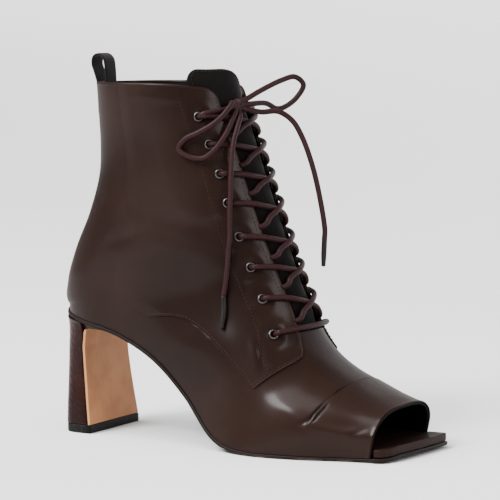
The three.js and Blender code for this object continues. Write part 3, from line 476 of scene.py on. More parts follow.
def curve_through(stops, count):
    """count points, evenly spaced, on the smooth curve through the stops: in each span a cubic
    whose end slopes are the stops' own, taken from their neighbours on both sides."""
    stops = np.asarray(stops, float)
    gap = np.maximum(np.linalg.norm(np.diff(stops, axis=0), axis=1), 1e-6)
    at = np.concatenate([[0], np.cumsum(np.sqrt(gap))])
    slope = np.gradient(stops, at, axis=0)
    fine = np.linspace(0, at[-1], 60 * len(stops))
    span = np.clip(np.searchsorted(at, fine, side="right") - 1, 0, len(stops) - 2)
    width = (at[span + 1] - at[span])[:, None]
    u = (fine[:, None] - at[span][:, None]) / width
    curve = cubic(u, stops[span], stops[span + 1], slope[span] * width, slope[span + 1] * width)
    along = lengths(curve)
    return between_rows(np.linspace(0, along[-1], count), along, curve)


def frames(path):
    """Two directions across a path at each point, carried along it with as little twist as can be."""
    tangent = unit(np.gradient(path, axis=0))
    side = np.zeros_like(path)
    start = np.cross(tangent[0], (0, 0, 1) if abs(tangent[0][2]) < 0.9 else (1, 0, 0))
    side[0] = unit(start)
    for k in range(1, len(path)):
        side[k] = unit(side[k - 1] - tangent[k] * (side[k - 1] @ tangent[k]))
    return side, np.cross(tangent, side)


def cord_uv(length, sides):
    """The way round as a share, and the way along in millimetres."""
    pairs = np.broadcast_arrays(around(sides) / (2 * np.pi), length[:, None])
    return np.stack(pairs, axis=-1).reshape(-1, 2)


def cord_mesh(path, radius, sides=16):
    """A round cord, closed by a cap at each end, where the radius falls as a quarter circle."""
    length = lengths(path)
    size = np.broadcast_to(np.asarray(radius, float), length.shape)
    cap = np.minimum(np.minimum(length, length[-1] - length) / (0.55 * size), 1)
    size = size * np.sqrt(np.maximum(1 - (1 - cap) ** 2, 0.0004))
    points, faces = tube(path, *frames(path), size, size, sides)
    return points, faces, cord_uv(length, sides)


def braided_path(stops):
    """Points close together on the curve through the stops."""
    rough = curve_through(stops, 50)
    return curve_through(stops, max(int(lengths(rough)[-1] / PATH_STEP), 8))


def lace_look():
    """Braid: two sets of strands that wind in opposite ways, seen as a fine diagonal weave."""
    look = Look("braided_lace", specular_ior_level=0.1, coat_weight=0.06, coat_roughness=0.35)
    around_it = look.uv("X") * (2 * math.pi)
    along = look.uv("Y") * (2 * math.pi / BRAID_PITCH)
    weave = (around_it * 4 + along * 2).sine() * (around_it * 4 - along * 2).sine() * 0.5 + 0.5
    fibre = look.noise(look.place(), 2600.0, 2.0)
    cloudy = look.noise(look.place(), 90.0, 2.0)
    shade = look.mix(weave, (0.0040, 0.0009, 0.0011), (0.027, 0.0058, 0.0066))
    tone = look.mix(cloudy.between(0.35, 0.7) * 0.5, shade, (0.014, 0.0030, 0.0034))
    bumps = look.bump(fibre, 0.05, look.bump(weave, 0.22))
    return look.finish(base_color=tone, roughness=0.62 - weave * 0.16, normal=bumps)


LACE_LOOK = lace_look()


def lay_lace(name, stops, replaced=()):
    """A length of lace that is held at both ends, as on the facings."""
    points, faces, uv = cord_mesh(braided_path(stops), LACE_RADIUS)
    add_mesh(name, points, faces, LACE_LOOK, "lace_cord", replaced, uv=uv)


KNOT_CENTRE = on_throat([KNOT_AT])[0]


def free_lace(name, stops, far_end, replaced):
    """A free length of lace that leaves the knot. It starts inside the knot, and so does a loop's
    other end."""
    inside = [KNOT_CENTRE + 0.25 * (np.asarray(stops[k]) - KNOT_CENTRE) for k in (0, -1)]
    path = braided_path(np.vstack([inside[:1], stops, inside[1:] if far_end == "object" else stops[:0]]))
    points, faces, uv = cord_mesh(path, LACE_RADIUS)
    piece = add_mesh(name, points, faces, LACE_LOOK, "lace_cord", [replaced], uv=uv)


def speckled_look(name, dark, light, scale, detail, rough, spread, relief=0.0):
    """One fine noise drives the colour, the roughness and any relief, in millimetres."""
    look = Look(name, specular_ior_level=0.15)
    speck = look.noise(look.place(), scale, detail)
    varying = {"normal": look.bump(speck, relief)} if relief else {}
    return look.finish(base_color=look.mix(speck, dark, light), roughness=rough + speck * spread, **varying)


TIP_LOOK = speckled_look("moulded_tip", (0.0035, 0.0022, 0.0022), (0.010, 0.0065, 0.0062), 420.0, 3.0,
                         0.30, 0.25, 0.05)


def lace_tip(name, stops, replaced):
    """A moulded tip: a tube that starts over the cord's end and tapers a little to its own."""
    radius = 1.62 - 0.32 * smooth(0.55, 1.0, np.linspace(0, 1, 40))
    points, faces, uv = cord_mesh(curve_through(stops, 40), radius)
    return add_mesh(name, points, faces, TIP_LOOK, "lace_tip", [replaced], uv=uv)


outer_tip = lace_tip("tip_of_outer_end", on_throat(TIP_OUTER), "lace_tip_outer")
inner_tip = lace_tip("tip_of_inner_end", TIP_INNER, "lace_tip_inner")
free_lace("bow_end_outer", on_throat(END_OUTER), "fitting", "lace_end_outer")
free_lace("bow_end_inner", np.array(END_INNER), "fitting", "lace_end_inner")
free_lace("bow_loop_outer", on_throat(LOOP_OUTER), "object", "lace_loop_outer")
free_lace("bow_loop_inner", np.array(LOOP_INNER), "object", "lace_loop_inner")


def strand(side, index):
    """One strand from an eyelet: out of its bore, over its flange and facing, across the tongue and
    down, and under the opposite facing to the next eyelet there."""
    start = EYELET_ROWS[index]
    drop = EYELET_ROWS[index + 1] - start
    edge = throat_half(start + 0.1 * drop)
    end = throat_half(start + 0.7 * drop) - LACE_TUCK
    stops = np.array([
        (0.0, EYELET_HALF[index] + 0.1, -1.2),
        (0.0, EYELET_HALF[index] - 0.35, 1.6),
        (0.012, EYELET_HALF[index] - 1.7, 3.35),
        (0.03, EYELET_HALF[index] - LACE_RIM, 3.0 + 0.15 * (side > 0)),
        (0.1, edge + 0.2, OVER_LEATHER),
        (0.17, edge - 3.6, OVER_TONGUE + 0.55),
        (0.34, -1, OVER_TONGUE + (0.9 if side > 0 else -0.5)),
        (0.52, -8, OVER_TONGUE),
        (0.7, -end, OVER_TONGUE - 0.35),
        (0.78, -end - 3.6, OVER_TONGUE - 1.6),
    ])
    stops[:, 0] = start + stops[:, 0] * drop
    stops[:, 1] *= side
    return on_throat(stops)


for index in range(len(EYELET_ROWS) - 1):
    lay_lace(f"strand_outer_{index + 1}", strand(-1, index), [f"lace_crossing_{index + 1}"])
    lay_lace(f"strand_inner_{index + 1}", strand(1, index))


LOW_BAR = [(0, 2.5), (0.38, 2.5), (0.69, 3.4), (1, 3.4), (1.07, 3.4), (1.115, 1.6), (1.13, -1.2)]
low_stops = [(-share, height) for share, height in LOW_BAR[:0:-1]] + LOW_BAR
lay_lace("bar_low", on_throat([(EYELET_ROWS[-1], share * (EYELET_HALF[-1] - LACE_RIM) + 1e-3, height)
                               for share, height in low_stops]), ["lace_bar_low"])
for (side, side_name), rest in zip(SIDES, (TOP_OUTER, TOP_INNER)):
    stops = [(row, side * half, height) for row, half, height in TOP_START] + rest
    lay_lace(f"strand_top_{side_name}", on_throat(stops), [f"lace_top_{side_name}"])


# Knot. The lace is tied twice over itself, so the knot is short turns of the same cord pulled into
# one another: a wide turn across and two standing turns over it.
def turn_of_knot(name, shift, across, down, out, tilt, radius, replaced=()):
    """A closed turn of cord: an ellipse across and down the front of the boot, turned by tilt,
    which also swings out and in."""
    t = around(48)
    u, v = across * np.cos(t), down * np.sin(t)
    a, b = u * np.cos(tilt) - v * np.sin(tilt), u * np.sin(tilt) + v * np.cos(tilt)
    front = outward(KNOT_AT[0], -0.05)
    side = unit(np.cross(front, (0, 0, -1.0)))
    path = KNOT_CENTRE + shift + np.outer(a, side) + np.outer(b, np.cross(front, side))
    path = path + np.outer(out * np.cos(2 * t), front)
    tangent = unit(np.roll(path, -1, axis=0) - np.roll(path, 1, axis=0))
    inward = unit(path - path.mean(axis=0))
    inward = unit(inward - (inward * tangent).sum(-1, keepdims=True) * tangent)
    points, faces = tube(path, inward, np.cross(tangent, inward), radius, radius, 16, ring=True)
    uv = cord_uv(np.linspace(0, np.pi * (across + down), len(path)), 16)
    add_mesh(name, points, faces, LACE_LOOK, "lace_cord", replaced, uv=uv)


turn_of_knot("knot_wide_turn", (0, 0, 0), 4.2, 1.6, 0.7, 0.25, 1.8, ["lace_knot"])
turn_of_knot("knot_standing_turn", (0.7, 1.9, 0.4), 1.1, 2.3, 0.9, -0.35, 1.75)
turn_of_knot("knot_slanting_turn", (0.4, -1.9, -0.3), 1.2, 2.3, 0.8, 0.55, 1.75)


# Upper leather. Smooth, lightly waxed calf in dark chocolate: a fine grain, faint pores, tones that
# drift between brown and near black, and a soft gloss that pulls tighter over bends.
def leather_look(name, dark, light, gloss=0.5, coat=0.16):
    look = Look(name, specular_ior_level=0.04, coat_roughness=0.23, coat_ior=1.5)
    spot = look.place()
    drift = look.noise(spot, 14.0, 3.0, 0.5)
    patch = look.noise(spot, 55.0, 4.0, 0.6)
    grain = look.cells(spot, 2100.0)
    pebble = look.noise(spot, 900.0, 4.0, 0.6)
    wrinkle = look.noise(look.place((1.0, 1.0, 0.45), (0.2, 0.5, 0.1)), 260.0, 3.0, 0.5)
    tone = look.mix(drift.between(0.34, 0.66), dark, light)
    tone = look.mix(patch.between(0.5, 0.8) * 0.35, tone, tuple(0.62 * c for c in dark))
    tone = look.mix((1 - grain.between(0.0, 0.12)) * 0.3, tone, tuple(0.5 * c for c in dark))
    # Painted highlight: the edge mark lightens a narrow band along the quarters' turned edges, where they
    # catch the light.
    tone = look.mix(look.attribute("edge"), tone, (0.030, 0.0170, 0.0130))
    # Painted shade: where this mark is set, the colour goes almost black and the coat is taken away, for the
    # shade in the toe band's grooves and inside the toe opening's rim.
    painted_shade = look.attribute("painted_shade")
    tone = look.mix(painted_shade, tone, tuple(0.15 * c for c in dark))
    soft = look.bump(wrinkle, 0.14, look.bump(pebble, 0.05))
    fine = look.bump(grain.between(0.0, 0.35), 0.018, soft)
    rough = gloss + patch * 0.14 - drift * 0.06
    return look.finish(base_color=tone, roughness=rough, coat_weight=(1 - painted_shade) * coat, normal=fine)


UPPER_DARK = (0.0076, 0.0026, 0.0014)
UPPER_LIGHT = (0.0140, 0.0058, 0.0038)
UPPER_LOOK = leather_look("upper_leather", UPPER_DARK, UPPER_LIGHT)


# Vamp, counter and toe: the lower part of the upper, lasted down to the sole. It carries on under
# the quarters. The toe band is a second layer across the toes, and its rear edge shows as a step
# that fades towards the sole.
TOE_BAND_ROW = 13.8
WALL = 1.6
OVERLAY = 1.0
VAMP_THICKNESS = 0.8
VAMP_HOLE = 2.4
CREASES = [
    # side, centre (x, z), half length, half breadth, turned from +x towards +z in degrees, height
    (-1, (64.0, 22.5), 5.0, 1.3, 32, -0.55),
    (-1, (54.0, 27.5), 14.0, 4.5, -22, 0.75),
    (-1, (87.0, 20.2), 17.0, 2.6, -10, -0.70),
    (-1, (84.0, 15.5), 16.0, 3.0, -12, 0.35),
    (-1, (91.0, 16.5), 6.0, 1.5, 25, -0.30),
    (-1, (-55.0, 61.0), 4.2, 0.9, 74, -0.40),
    (-1, (-52.3, 61.5), 4.0, 1.3, 74, 0.25),
    (-1, (84.0, 33.0), 9.0, 3.0, -25, 0.22),
    (-1, (30.0, 56.0), 9.0, 1.5, -70, -0.55),
    (-1, (26.5, 58.0), 9.0, 2.2, -68, 0.55),
    (-1, (38.0, 49.0), 4.0, 1.3, -40, 0.40),
    (-1, (24.0, 85.0), 7.0, 2.0, 60, 0.45),
    (-1, (33.0, 70.0), 6.5, 2.2, 50, 0.40),
    (-1, (22.0, 78.0), 8.0, 1.3, -62, -0.30),
    (-1, (14.5, 96.0), 8.0, 1.4, -66, -0.30),
    (-1, (18.0, 99.0), 6.0, 2.2, 48, 0.45),
    (-1, (6.0, 117.0), 7.0, 2.4, 40, 0.35),
    (-1, (-2.0, 136.0), 9.0, 3.0, 30, 0.30),
    (-1, (-14.0, 128.0), 26.0, 5.0, -12, -0.35),
    (-1, (-22.0, 112.0), 24.0, 6.0, -14, 0.45),
    (-1, (-62.0, 118.0), 16.0, 4.0, 20, -0.40),
    (-1, (-50.0, 108.0), 20.0, 5.0, 14, 0.35),
    (-1, (-80.0, 140.0), 9.0, 4.0, 25, -0.35),
    (-1, (-30.0, 200.5), 22.0, 2.6, -2, 0.30),
    (-1, (-22.5, 203.0), 2.0, 0.8, 55, -0.45),
    (1, (0.0, 120.0), 22.0, 5.0, -10, -0.35),
    (1, (-10.0, 106.0), 20.0, 5.0, -12, 0.40),
    (1, (-70.0, 118.0), 16.0, 4.0, 20, -0.40),
    (1, (62.0, 26.0), 8.0, 1.8, 40, -0.30),
    (1, (70.0, 24.0), 8.0, 2.6, 35, 0.35),
    (1, (86.0, 20.0), 12.0, 3.0, -12, 0.30),
    (1, (28.0, 60.0), 9.0, 2.2, -65, 0.40),
]


def creases(points, side):
    """Soft troughs and ridges: each is a bell across its own line, times a bell along it. points
    are on the last, and only x and z place a crease on its side."""
    x, z = points[..., 0], points[..., 2]
    total = np.zeros(x.shape)
    for on_side, (at_x, at_z), length, breadth, turned, height in CREASES:
        c, s = math.cos(math.radians(turned)), math.sin(math.radians(turned))
        along = (x - at_x) * c + (z - at_z) * s
        across = (z - at_z) * c - (x - at_x) * s
        bell = np.exp(-((along / length) ** 2) * 1.6 - (across / breadth) ** 2)
        total += np.where(np.sign(side) == on_side, height * bell, 0)
    return total


COLLAR_CORNER = 9.0
CORNER_ROWS = 0.62


def collar_row(turn):
    """The collar dips a little towards the throat, and a quarter ellipse leads down into the
    facing's edge."""
    q = turn_to_share(turn)
    from_edge = 1.4 * (half_width(section(0.4), q) - throat_half(1.0))
    corner = np.where(q < 0.4, from_edge / COLLAR_CORNER, 1)
    return 0.4 * np.maximum(1 - q / 0.5, 0) ** 2 + CORNER_ROWS * (1 - arc(corner))


BAND_SHARES = (0, 0.05, 0.11, 0.14, 0.23, 0.28, 0.44, 0.50)
BAND_DEPTHS = (0.5, 0.8, 0.8, 0.2, 0.2, 1, 1, 0)


def toe_grooves(row, q):
    """How deep the grooves at the toe band's rear edge are: one over the toes, two beside them."""
    first, second = (np.exp(-(((row - TOE_BAND_ROW - behind) / 0.034) ** 2)) for behind in (0, 0.15))
    return (first + second * smooth(0.2, 0.27, q)) * np.interp(q, BAND_SHARES, BAND_DEPTHS)


def vamp_height(row, turn):
    """The toe band's step with its soft edge, the grooves there and the rim of the toe opening."""
    q = turn_to_share(turn)
    band = 0.35 * smooth(TOE_BAND_ROW, TOE_BAND_ROW + 0.05, row) * (1 - smooth(0.5, 0.64, q))
    rim = 0.35 * np.exp(-(((row - LAST_ROW + 0.12) / 0.1) ** 2))
    return band - 0.45 * toe_grooves(row, q) + rim * smooth(15.4, 15.9, row)


BRIDGE = 5


def across_cuts(rows, shares):
    """Turns from the back over the throat and round to the back again. On either side the first
    cells bridge half the throat, and shares go from the facing's edge to the back."""
    share = np.concatenate([np.arange(-BRIDGE, 0) / BRIDGE, shares])
    edge = facing_turn(rows)[:, None]
    turn = np.where(share < 0, edge * (1 + share), edge + (np.pi - edge) * np.maximum(share, 0))
    return np.concatenate([-turn[:, ::-1], turn[:, 1:]], axis=1)


def from_eyelets(points, height, sides=(-1, 1)):
    """The distance of each point from each eyelet's centre, at a height above the last."""
    centres = on_throat([(row, side * half, height) for row, half in zip(EYELET_ROWS, EYELET_HALF)
                         for side in sides])
    return np.linalg.norm(points[..., None, :] - centres, axis=-1)


def cells_kept(points, row, turn, height, hole):
    """The cells of a grid over across_cuts that stay: off the throat, the zip and the eyelets."""
    middle = (points[:-1, :-1] + points[1:, 1:]) / 2
    index = np.arange(turn.shape[1] - 1) - turn.shape[1] // 2
    in_throat = (index >= -BRIDGE) & (index < BRIDGE) & (row[:-1, :-1] < THROAT_END)
    in_zip = on_zip(middle) & (turn[:-1, :-1] > 0)
    return ~in_throat & ~in_zip & (from_eyelets(middle, height) > hole).all(axis=-1)


def build_vamp():
    """Rows down the last and columns round it, closer together at the toe band and the opening."""
    rows = np.unique(np.concatenate([
        np.linspace(0, 7, 80), np.linspace(7, 13.6, 106), np.linspace(13.6, 14.0, 22),
        np.linspace(14.0, 15.7, 30), np.linspace(15.7, LAST_ROW, 10)]))
    turn = across_cuts(rows, np.linspace(0, 1, 76))
    row = np.maximum(rows[:, None], collar_row(turn) + 0.02)
    base = last(row, turn)
    folds = creases(base, np.where(turn < 0, -1, 1)) * smooth(0.0, 0.3, np.abs(turn))
    height = vamp_height(row, turn) + folds - 0.55 * under_quarter(row, turn)
    points = base + outward(row, turn) * height[..., None]
    # Painted shade mark: full in the grooves at the toe band's rear edge and in the last rows at the toe
    # opening's rim, where shade falls.
    painted_shade = toe_grooves(row, turn_to_share(turn)) + 0.8 * smooth(15.84, 15.94, row)
    kept = cells_kept(points, row, turn, 0, VAMP_HOLE)
    return points, grid_faces(*turn.shape, kept=kept), np.clip(painted_shade, 0, 1)


ZIP_Z = (60, 77, 98, 120, 142, 164, 186, 209)
ZIP_X = (88.7, 88.2, 86.4, 85.0, 83.4, 81.8, 80.9, 80.8)
ZIP_SLOT = 2.9


def on_zip(points):
    """Whether a point lies in the zip's slot, in side view."""
    x, z = points[..., 0], points[..., 2]
    off = np.abs(x + BACK_TO_CENTRE - np.interp(z, ZIP_Z, ZIP_X))
    return (off < ZIP_SLOT) & (z > ZIP_Z[0])


OUTER_SHARE = (0, 0.03, 0.22, 0.375, 0.41, 0.45, 0.48, 0.5, 0.54, 0.65, 0.75, 0.83, 0.9, 1.0)
OUTER_ROW = (11.42, 11.5, 11.58, 11.65, 11.0, 10.2, 9.15, 8.7, 8.47, 8.35, 8.45, 8.8, 9.0, 9.1)
INNER_ROW = (0, 1.4, 2.6, 3.7, 4.9, 6.2, 6.8, 7.8, 9.0, 9.9, 10.7, 11.5)
INNER_SHARE = (0.27, 0.31, 0.355, 0.36, 0.36, 0.365, 0.375, 0.39, 0.445, 0.47, 0.455, 0.42)
FACING_ROW = 11.5


def share_of(row, turn):
    """How far round a point is from its facing's edge to the back, as a share of the cut."""
    edge = facing_share(row)
    return (turn_to_share(turn) - edge) / (1 - edge)


def under_quarter(row, turn):
    """1 where a quarter covers the vamp with some margin, 0 elsewhere."""
    share = share_of(row, turn)
    outer = smooth(0.12, 0.3, np.interp(share, OUTER_SHARE, OUTER_ROW) - row) * (1 - smooth(0.5, 0.66, share))
    inner = smooth(0.0, 0.03, np.interp(row, INNER_ROW, INNER_SHARE) - share)
    inner = inner * smooth(0.1, 0.3, FACING_ROW - row)
    cover = np.where(turn < 0, outer, inner)
    return cover * smooth(0.0, 0.02, share)


points, faces, painted_shade = build_vamp()
thicken(add_mesh("vamp_and_counter", points, faces, UPPER_LOOK, "brown_leather", ["upper"],
                 marks={"painted_shade": painted_shade}), VAMP_THICKNESS)


# Quarters. The outer and the inner side of the shaft are cut from the same leather and laid over
# the vamp, so their lower edges and the facings stand up as a turned edge with a row of stitches.
QUARTER_THICKNESS = 0.95
QUARTER_HOLE = 2.1
FADE_FROM = 1.72
FADE_TO = 2.0


def rear_fade(turn):
    """0 in front and 1 towards the back, where the outer quarter has sunk into the counter."""
    return smooth(FADE_FROM, FADE_TO, np.abs(turn))


def build_quarter(side):
    """Rows from the collar to the quarter's lower edge, and columns from its facing to its rear."""
    down = np.concatenate([np.linspace(0, 0.9, 105), np.linspace(0.9, 1, 22)[1:]])[:, None]
    if side < 0:
        share = np.concatenate([np.linspace(0, 0.36, 40), np.linspace(0.36, 0.52, 40)[1:],
                                np.linspace(0.52, 0.93, 34)[1:]])[None]
        bottom = np.interp(share, OUTER_SHARE, OUTER_ROW)
    else:
        across = np.linspace(0, 1, 48)[None]
        bottom = FACING_ROW - 0.08 * (1 - across)
        share = np.interp(down * bottom, INNER_ROW, INNER_SHARE) * across
    row = down * bottom
    for _ in range(6):
        edge = facing_share(row)
        turn = share_to_turn(edge + (1 - edge) * share)
        top = collar_row(turn)
        row = top + (bottom - top) * down
    base = last(row, side * turn)
    fade = rear_fade(turn) * (side < 0)
    away = from_eyelets(base, 0, [side])
    pucker = 0.32 * np.exp(-(((away - 7.0) / 2.6) ** 2)) - 0.45 * np.exp(-((away / 4.2) ** 2))
    height = OVERLAY - (OVERLAY + 0.3) * fade + creases(base, side)
    height = height + pucker.sum(axis=-1) * (1 - smooth(2.0, 2.4, turn))
    points = base + outward(row, side * turn) * height[..., None]
    middle = (points[:-1, :-1] + points[1:, 1:]) / 2
    kept = (from_eyelets(middle, OVERLAY, [side]) > QUARTER_HOLE).all(axis=-1)
    faces = grid_faces(*turn.shape, kept=kept)
    # edge below is a painted highlight: a lighter band within about half a millimetre of the facing and the
    # lower edge, where the turned edge catches the light. There is none where the quarter has sunk into the
    # counter.
    from_facing = np.linalg.norm(points - points[:, :1], axis=-1)
    from_below = np.linalg.norm(points - points[-1:], axis=-1) + 9 * fade
    edge = 0.75 * np.exp(-((np.minimum(from_facing, from_below) / 0.55) ** 2))
    return points, faces if side > 0 else faces[:, ::-1], edge


for side, side_name in SIDES:
    points, faces, edge = build_quarter(side)
    quarter = add_mesh(f"quarter_{side_name}", points, faces, UPPER_LOOK, "brown_leather",
                       marks={"edge": edge})
    round_edges(thicken(quarter, QUARTER_THICKNESS), 0.28)


# Stitches. Dark waxed thread, sewn in straight rows: beside the facings' edges, behind the eyelets,
# along the quarters' lower edges and round the tongue.
THREAD_LOOK = speckled_look("thread", (0.010, 0.0052, 0.0040), (0.027, 0.0150, 0.0120), 1500.0, 2.0,
                            0.55, 0.2)
PITCH = 2.3
THREAD_RADIUS = 0.21


def sew(name, path, normal, slot="brown_leather"):
    """A row of stitches on a path: each is a short bead, thick in the middle and thin at its ends,
    whose radius falls as the square root of 1 - t^3 along it."""
    along = lengths(path)
    count = max(int(along[-1] / PITCH), 2)
    t = np.array([-1, -0.8, -0.35, 0.35, 0.8, 1.0])
    where = ((np.arange(count) + 0.5) * along[-1] / count)[:, None] + t * PITCH * 0.38
    spine = between_rows(where, along, path)
    out = unit(between_rows(where, along, normal))
    across = unit(np.cross(out, unit(np.gradient(spine, axis=1))))
    size = THREAD_RADIUS * np.sqrt(np.maximum(1 - np.abs(t) ** 3, 0.02))[:, None, None]
    spine = spine + out * (0.12 - 0.28 * t[:, None] ** 2)
    angle = around(6)[:, None]
    ring = size * (np.cos(angle) * across[:, :, None] + np.sin(angle) * out[:, :, None])
    add_mesh(name, *many_lofts(spine[:, :, None] + ring, inside_out=True), THREAD_LOOK, slot)


def sew_on_last(name, row, turn, height=0.05 + OVERLAY):
    sew(name, lifted(row, turn, height), outward(row, turn))


FACING_LINE_ROWS = (0.55, 1.3, 2.56, 3.43, 4.42, 5.56, 7.11, 8.86, 9.93, 10.41, 10.99, 11.4)
FACING_LINE_SHARES = (0.25, 0.238, 0.214, 0.203, 0.187, 0.166, 0.15, 0.183, 0.213, 0.241, 0.261, 0.268)
line = np.linspace(0, len(FACING_LINE_ROWS) - 1, 260)
stops = np.arange(len(FACING_LINE_ROWS))
for side, side_name in SIDES:
    rows = np.linspace(0.6, 11.05, 300)
    sew_on_last(f"stitches_facing_{side_name}", rows, side * share_to_turn(facing_share(rows) + 0.012))
    turn = side * share_to_turn(np.interp(line, stops, FACING_LINE_SHARES))
    sew_on_last(f"stitches_behind_eyelets_{side_name}", np.interp(line, stops, FACING_LINE_ROWS), turn,
                OVERLAY + 0.02)


share = np.linspace(0.02, 0.72, 400)
row = np.where(share > 0.38, np.interp(share + 0.012, OUTER_SHARE, OUTER_ROW) - 0.08,
               np.interp(share, OUTER_SHARE, OUTER_ROW) - 0.10)
front = facing_share(row)
turn = -share_to_turn(front + (1 - front) * (share - 0.006))
sew_on_last("stitches_quarter_outer", row, turn, OVERLAY - (OVERLAY + 0.3) * rear_fade(turn) + 0.05)
row = np.linspace(6.9, 11.3, 240)
front = facing_share(row)
turn = share_to_turn(front + np.interp(row, INNER_ROW, INNER_SHARE) * (1 - front) - 0.016)
sew_on_last("stitches_quarter_inner", row, turn)


# Collar. The leather is folded in over the lining round the top, which leaves a soft round edge.
def build_collar():
    """A flattened tube that follows the collar from facing to facing by way of the back."""
    edge = facing_share(1.0)
    half = share_to_turn(edge + (1 - edge) * np.linspace(0, 1, 90) ** 1.8)
    turn = np.concatenate([-half, half[::-1][1:]])
    row = collar_row(turn) + 0.045
    inner = 1 - smooth(0.30, 0.36, share_of(row, turn))
    layer = OVERLAY * np.where(np.arange(len(turn)) < len(half), 1 - rear_fade(turn), inner)
    out = outward(row, turn)
    path = last(row, turn) + out * ((layer - WALL) / 2)[:, None]
    up = unit(last(row - 0.02, turn) - last(row + 0.02, turn))
    return tube(path, out, up, (layer + WALL) / 2 + 0.12, 1.15, 14)


add_mesh("collar_edge", *build_collar(), UPPER_LOOK, "brown_leather")


# Lining. Black kid leather, glued inside the upper from the collar down to the insole.
def lining_look(name, dark, light):
    look = Look(name, specular_ior_level=0.06)
    spot = look.place()
    tone = look.noise(spot, 60.0, 3.0)
    grain = look.noise(spot, 1300.0, 3.0)
    return look.finish(base_color=look.mix(tone, dark, light), roughness=0.6 + grain * 0.2,
                       normal=look.bump(grain, 0.06))


LINING_LOOK = lining_look("lining", (0.0022, 0.0018, 0.0017), (0.0055, 0.0042, 0.0038))


LINING_DEPTH = 0.85
LINING_THICKNESS = 0.7
LINING_HOLE = 2.2


def build_lining():
    """The last again, a little further in, cut away at the throat, the zip and the eyelets."""
    rows = np.linspace(0.05, 15.95, 130)
    turn = across_cuts(rows, np.linspace(0.005, 1, 52))
    row = np.maximum(rows[:, None], collar_row(turn) + 0.05)
    points = lifted(row, turn, -LINING_DEPTH)
    return points, grid_faces(*turn.shape, kept=cells_kept(points, row, turn, -1, LINING_HOLE))


thicken(add_mesh("lining", *build_lining(), LINING_LOOK, "black_lining"), LINING_THICKNESS)


# Tongue. A strip of leather, lightly padded, sewn in under the facings, coloured near black, which is
# partly painted shade for the shadow in the throat. Its round top stands above the collar, and it
# swells a little between the facings.
TONGUE_TOP = -0.62
TONGUE_END = 11.2
TONGUE_THICK = 2.2


def tongue_across(row, share):
    """The distance from the throat's centre line for share -1 at the outer edge to 1 at the inner
    one. The top has slid to the outer side, and its inner corner is a wide quarter ellipse."""
    full = 27 - 4 * smooth(5, 11, row)
    outer = -full * (0.80 + 0.20 * arc((row - TONGUE_TOP) / 0.6))
    inner = -11 + 28 * arc((row - TONGUE_TOP) / 1.5) + (full - 17) * smooth(1, 4, row)
    return outer + (inner - outer) * (share + 1) / 2


def tongue_place(row, share):
    """A point on the last, its normal, and the height of the tongue's face: under the wall, with a
    parabola of swelling between the facings."""
    across = tongue_across(row, share)
    half = np.abs(across)
    turn = np.sign(across) * turn_at(row, half)
    swell = 1.9 * np.maximum(1 - (half / (throat_half(row) - 1.5)) ** 2, 0)
    return last(row, turn), outward(row, turn), swell * (1 - smooth(9.3, 10.0, row)) - WALL - 0.8


def closed_pair(outer, inner):
    """Two sheets on one grid whose borders meet, joined into a closed skin."""
    rows, columns = outer.shape[:2]
    faces = grid_faces(rows, columns)
    twin = np.arange(rows * columns).reshape(rows, columns) + rows * columns
    twin[[0, -1]] -= rows * columns
    twin[1:-1, [0, -1]] -= rows * columns
    return np.concatenate([outer, inner]), faces.tolist() + twin.ravel()[faces][:, ::-1].tolist()


def build_tongue():
    """The padding is full in the middle and falls to nothing at the border as a quarter circle,
    with a shallow trough beside it, where the border is stitched."""
    rows = np.concatenate([TONGUE_TOP + 0.7 * np.linspace(0, 1, 34) ** 2.2,
                           np.linspace(0.08, TONGUE_END, 120)[1:]])
    down, across = np.meshgrid(rows, np.sin(np.linspace(-np.pi / 2, np.pi / 2, 45)), indexing="ij")
    width = (tongue_across(down, 1) - tongue_across(down, -1)) / 2
    border = np.minimum((1 - np.abs(across)) * width, np.minimum(down - TONGUE_TOP, TONGUE_END - down) * 17)
    thick = TONGUE_THICK * arc(border / 1.1)
    trough = 0.22 * np.exp(-(((border - 2.4) / 0.6) ** 2))
    base, out, face = tongue_place(down, across)
    middle = face - TONGUE_THICK / 2
    return closed_pair(base + out * (middle + thick / 2 - trough)[..., None],
                       base + out * (middle - thick / 2)[..., None])


# The tongue takes the lining's near-black colour, which here is partly painted shade for the throat's shadow.
add_mesh("tongue", *build_tongue(), LINING_LOOK, "black_lining", ["tongue"])
border_row = np.concatenate([np.full(60, TONGUE_TOP + 0.1), np.linspace(TONGUE_TOP + 0.12, 1.2, 80)])
border_share = np.concatenate([np.linspace(0, 0.86, 60), np.full(80, 0.9)])
for side, side_name in SIDES:
    base, out, face = tongue_place(border_row, side * np.maximum(border_share, 1e-3))
    sew(f"stitches_tongue_{side_name}", base + out * (face + 0.05)[:, None], out, "black_lining")


# Eyelets. Small gunmetal rings: a barrel is pushed through the leather and its flange is rolled over.
EYELET_PROFILE = np.array([
    (1.72, -1.6), (1.70, 0.4), (1.74, 1.3), (1.90, 1.75), (2.2, 1.98), (2.55, 1.9), (2.85, 1.6),
    (3.0, 1.2), (2.9, 0.95), (2.5, 0.8), (2.05, 0.75), (2.02, -1.6),
])


def metal_look(name, dark, light, rough):
    look = Look(name, metallic=1.0)
    haze = look.noise(look.place(), 500.0, 4.0)
    scratch = look.noise(look.place((1.0, 1.0, 8.0), (0.4, 0.9, 0.2)), 900.0, 2.0)
    return look.finish(base_color=look.mix(haze, dark, light), roughness=rough + haze * 0.14 + scratch * 0.06,
                       normal=look.bump(scratch, 0.01))


GUNMETAL = metal_look("gunmetal", (0.035, 0.032, 0.032), (0.12, 0.113, 0.11), 0.24)


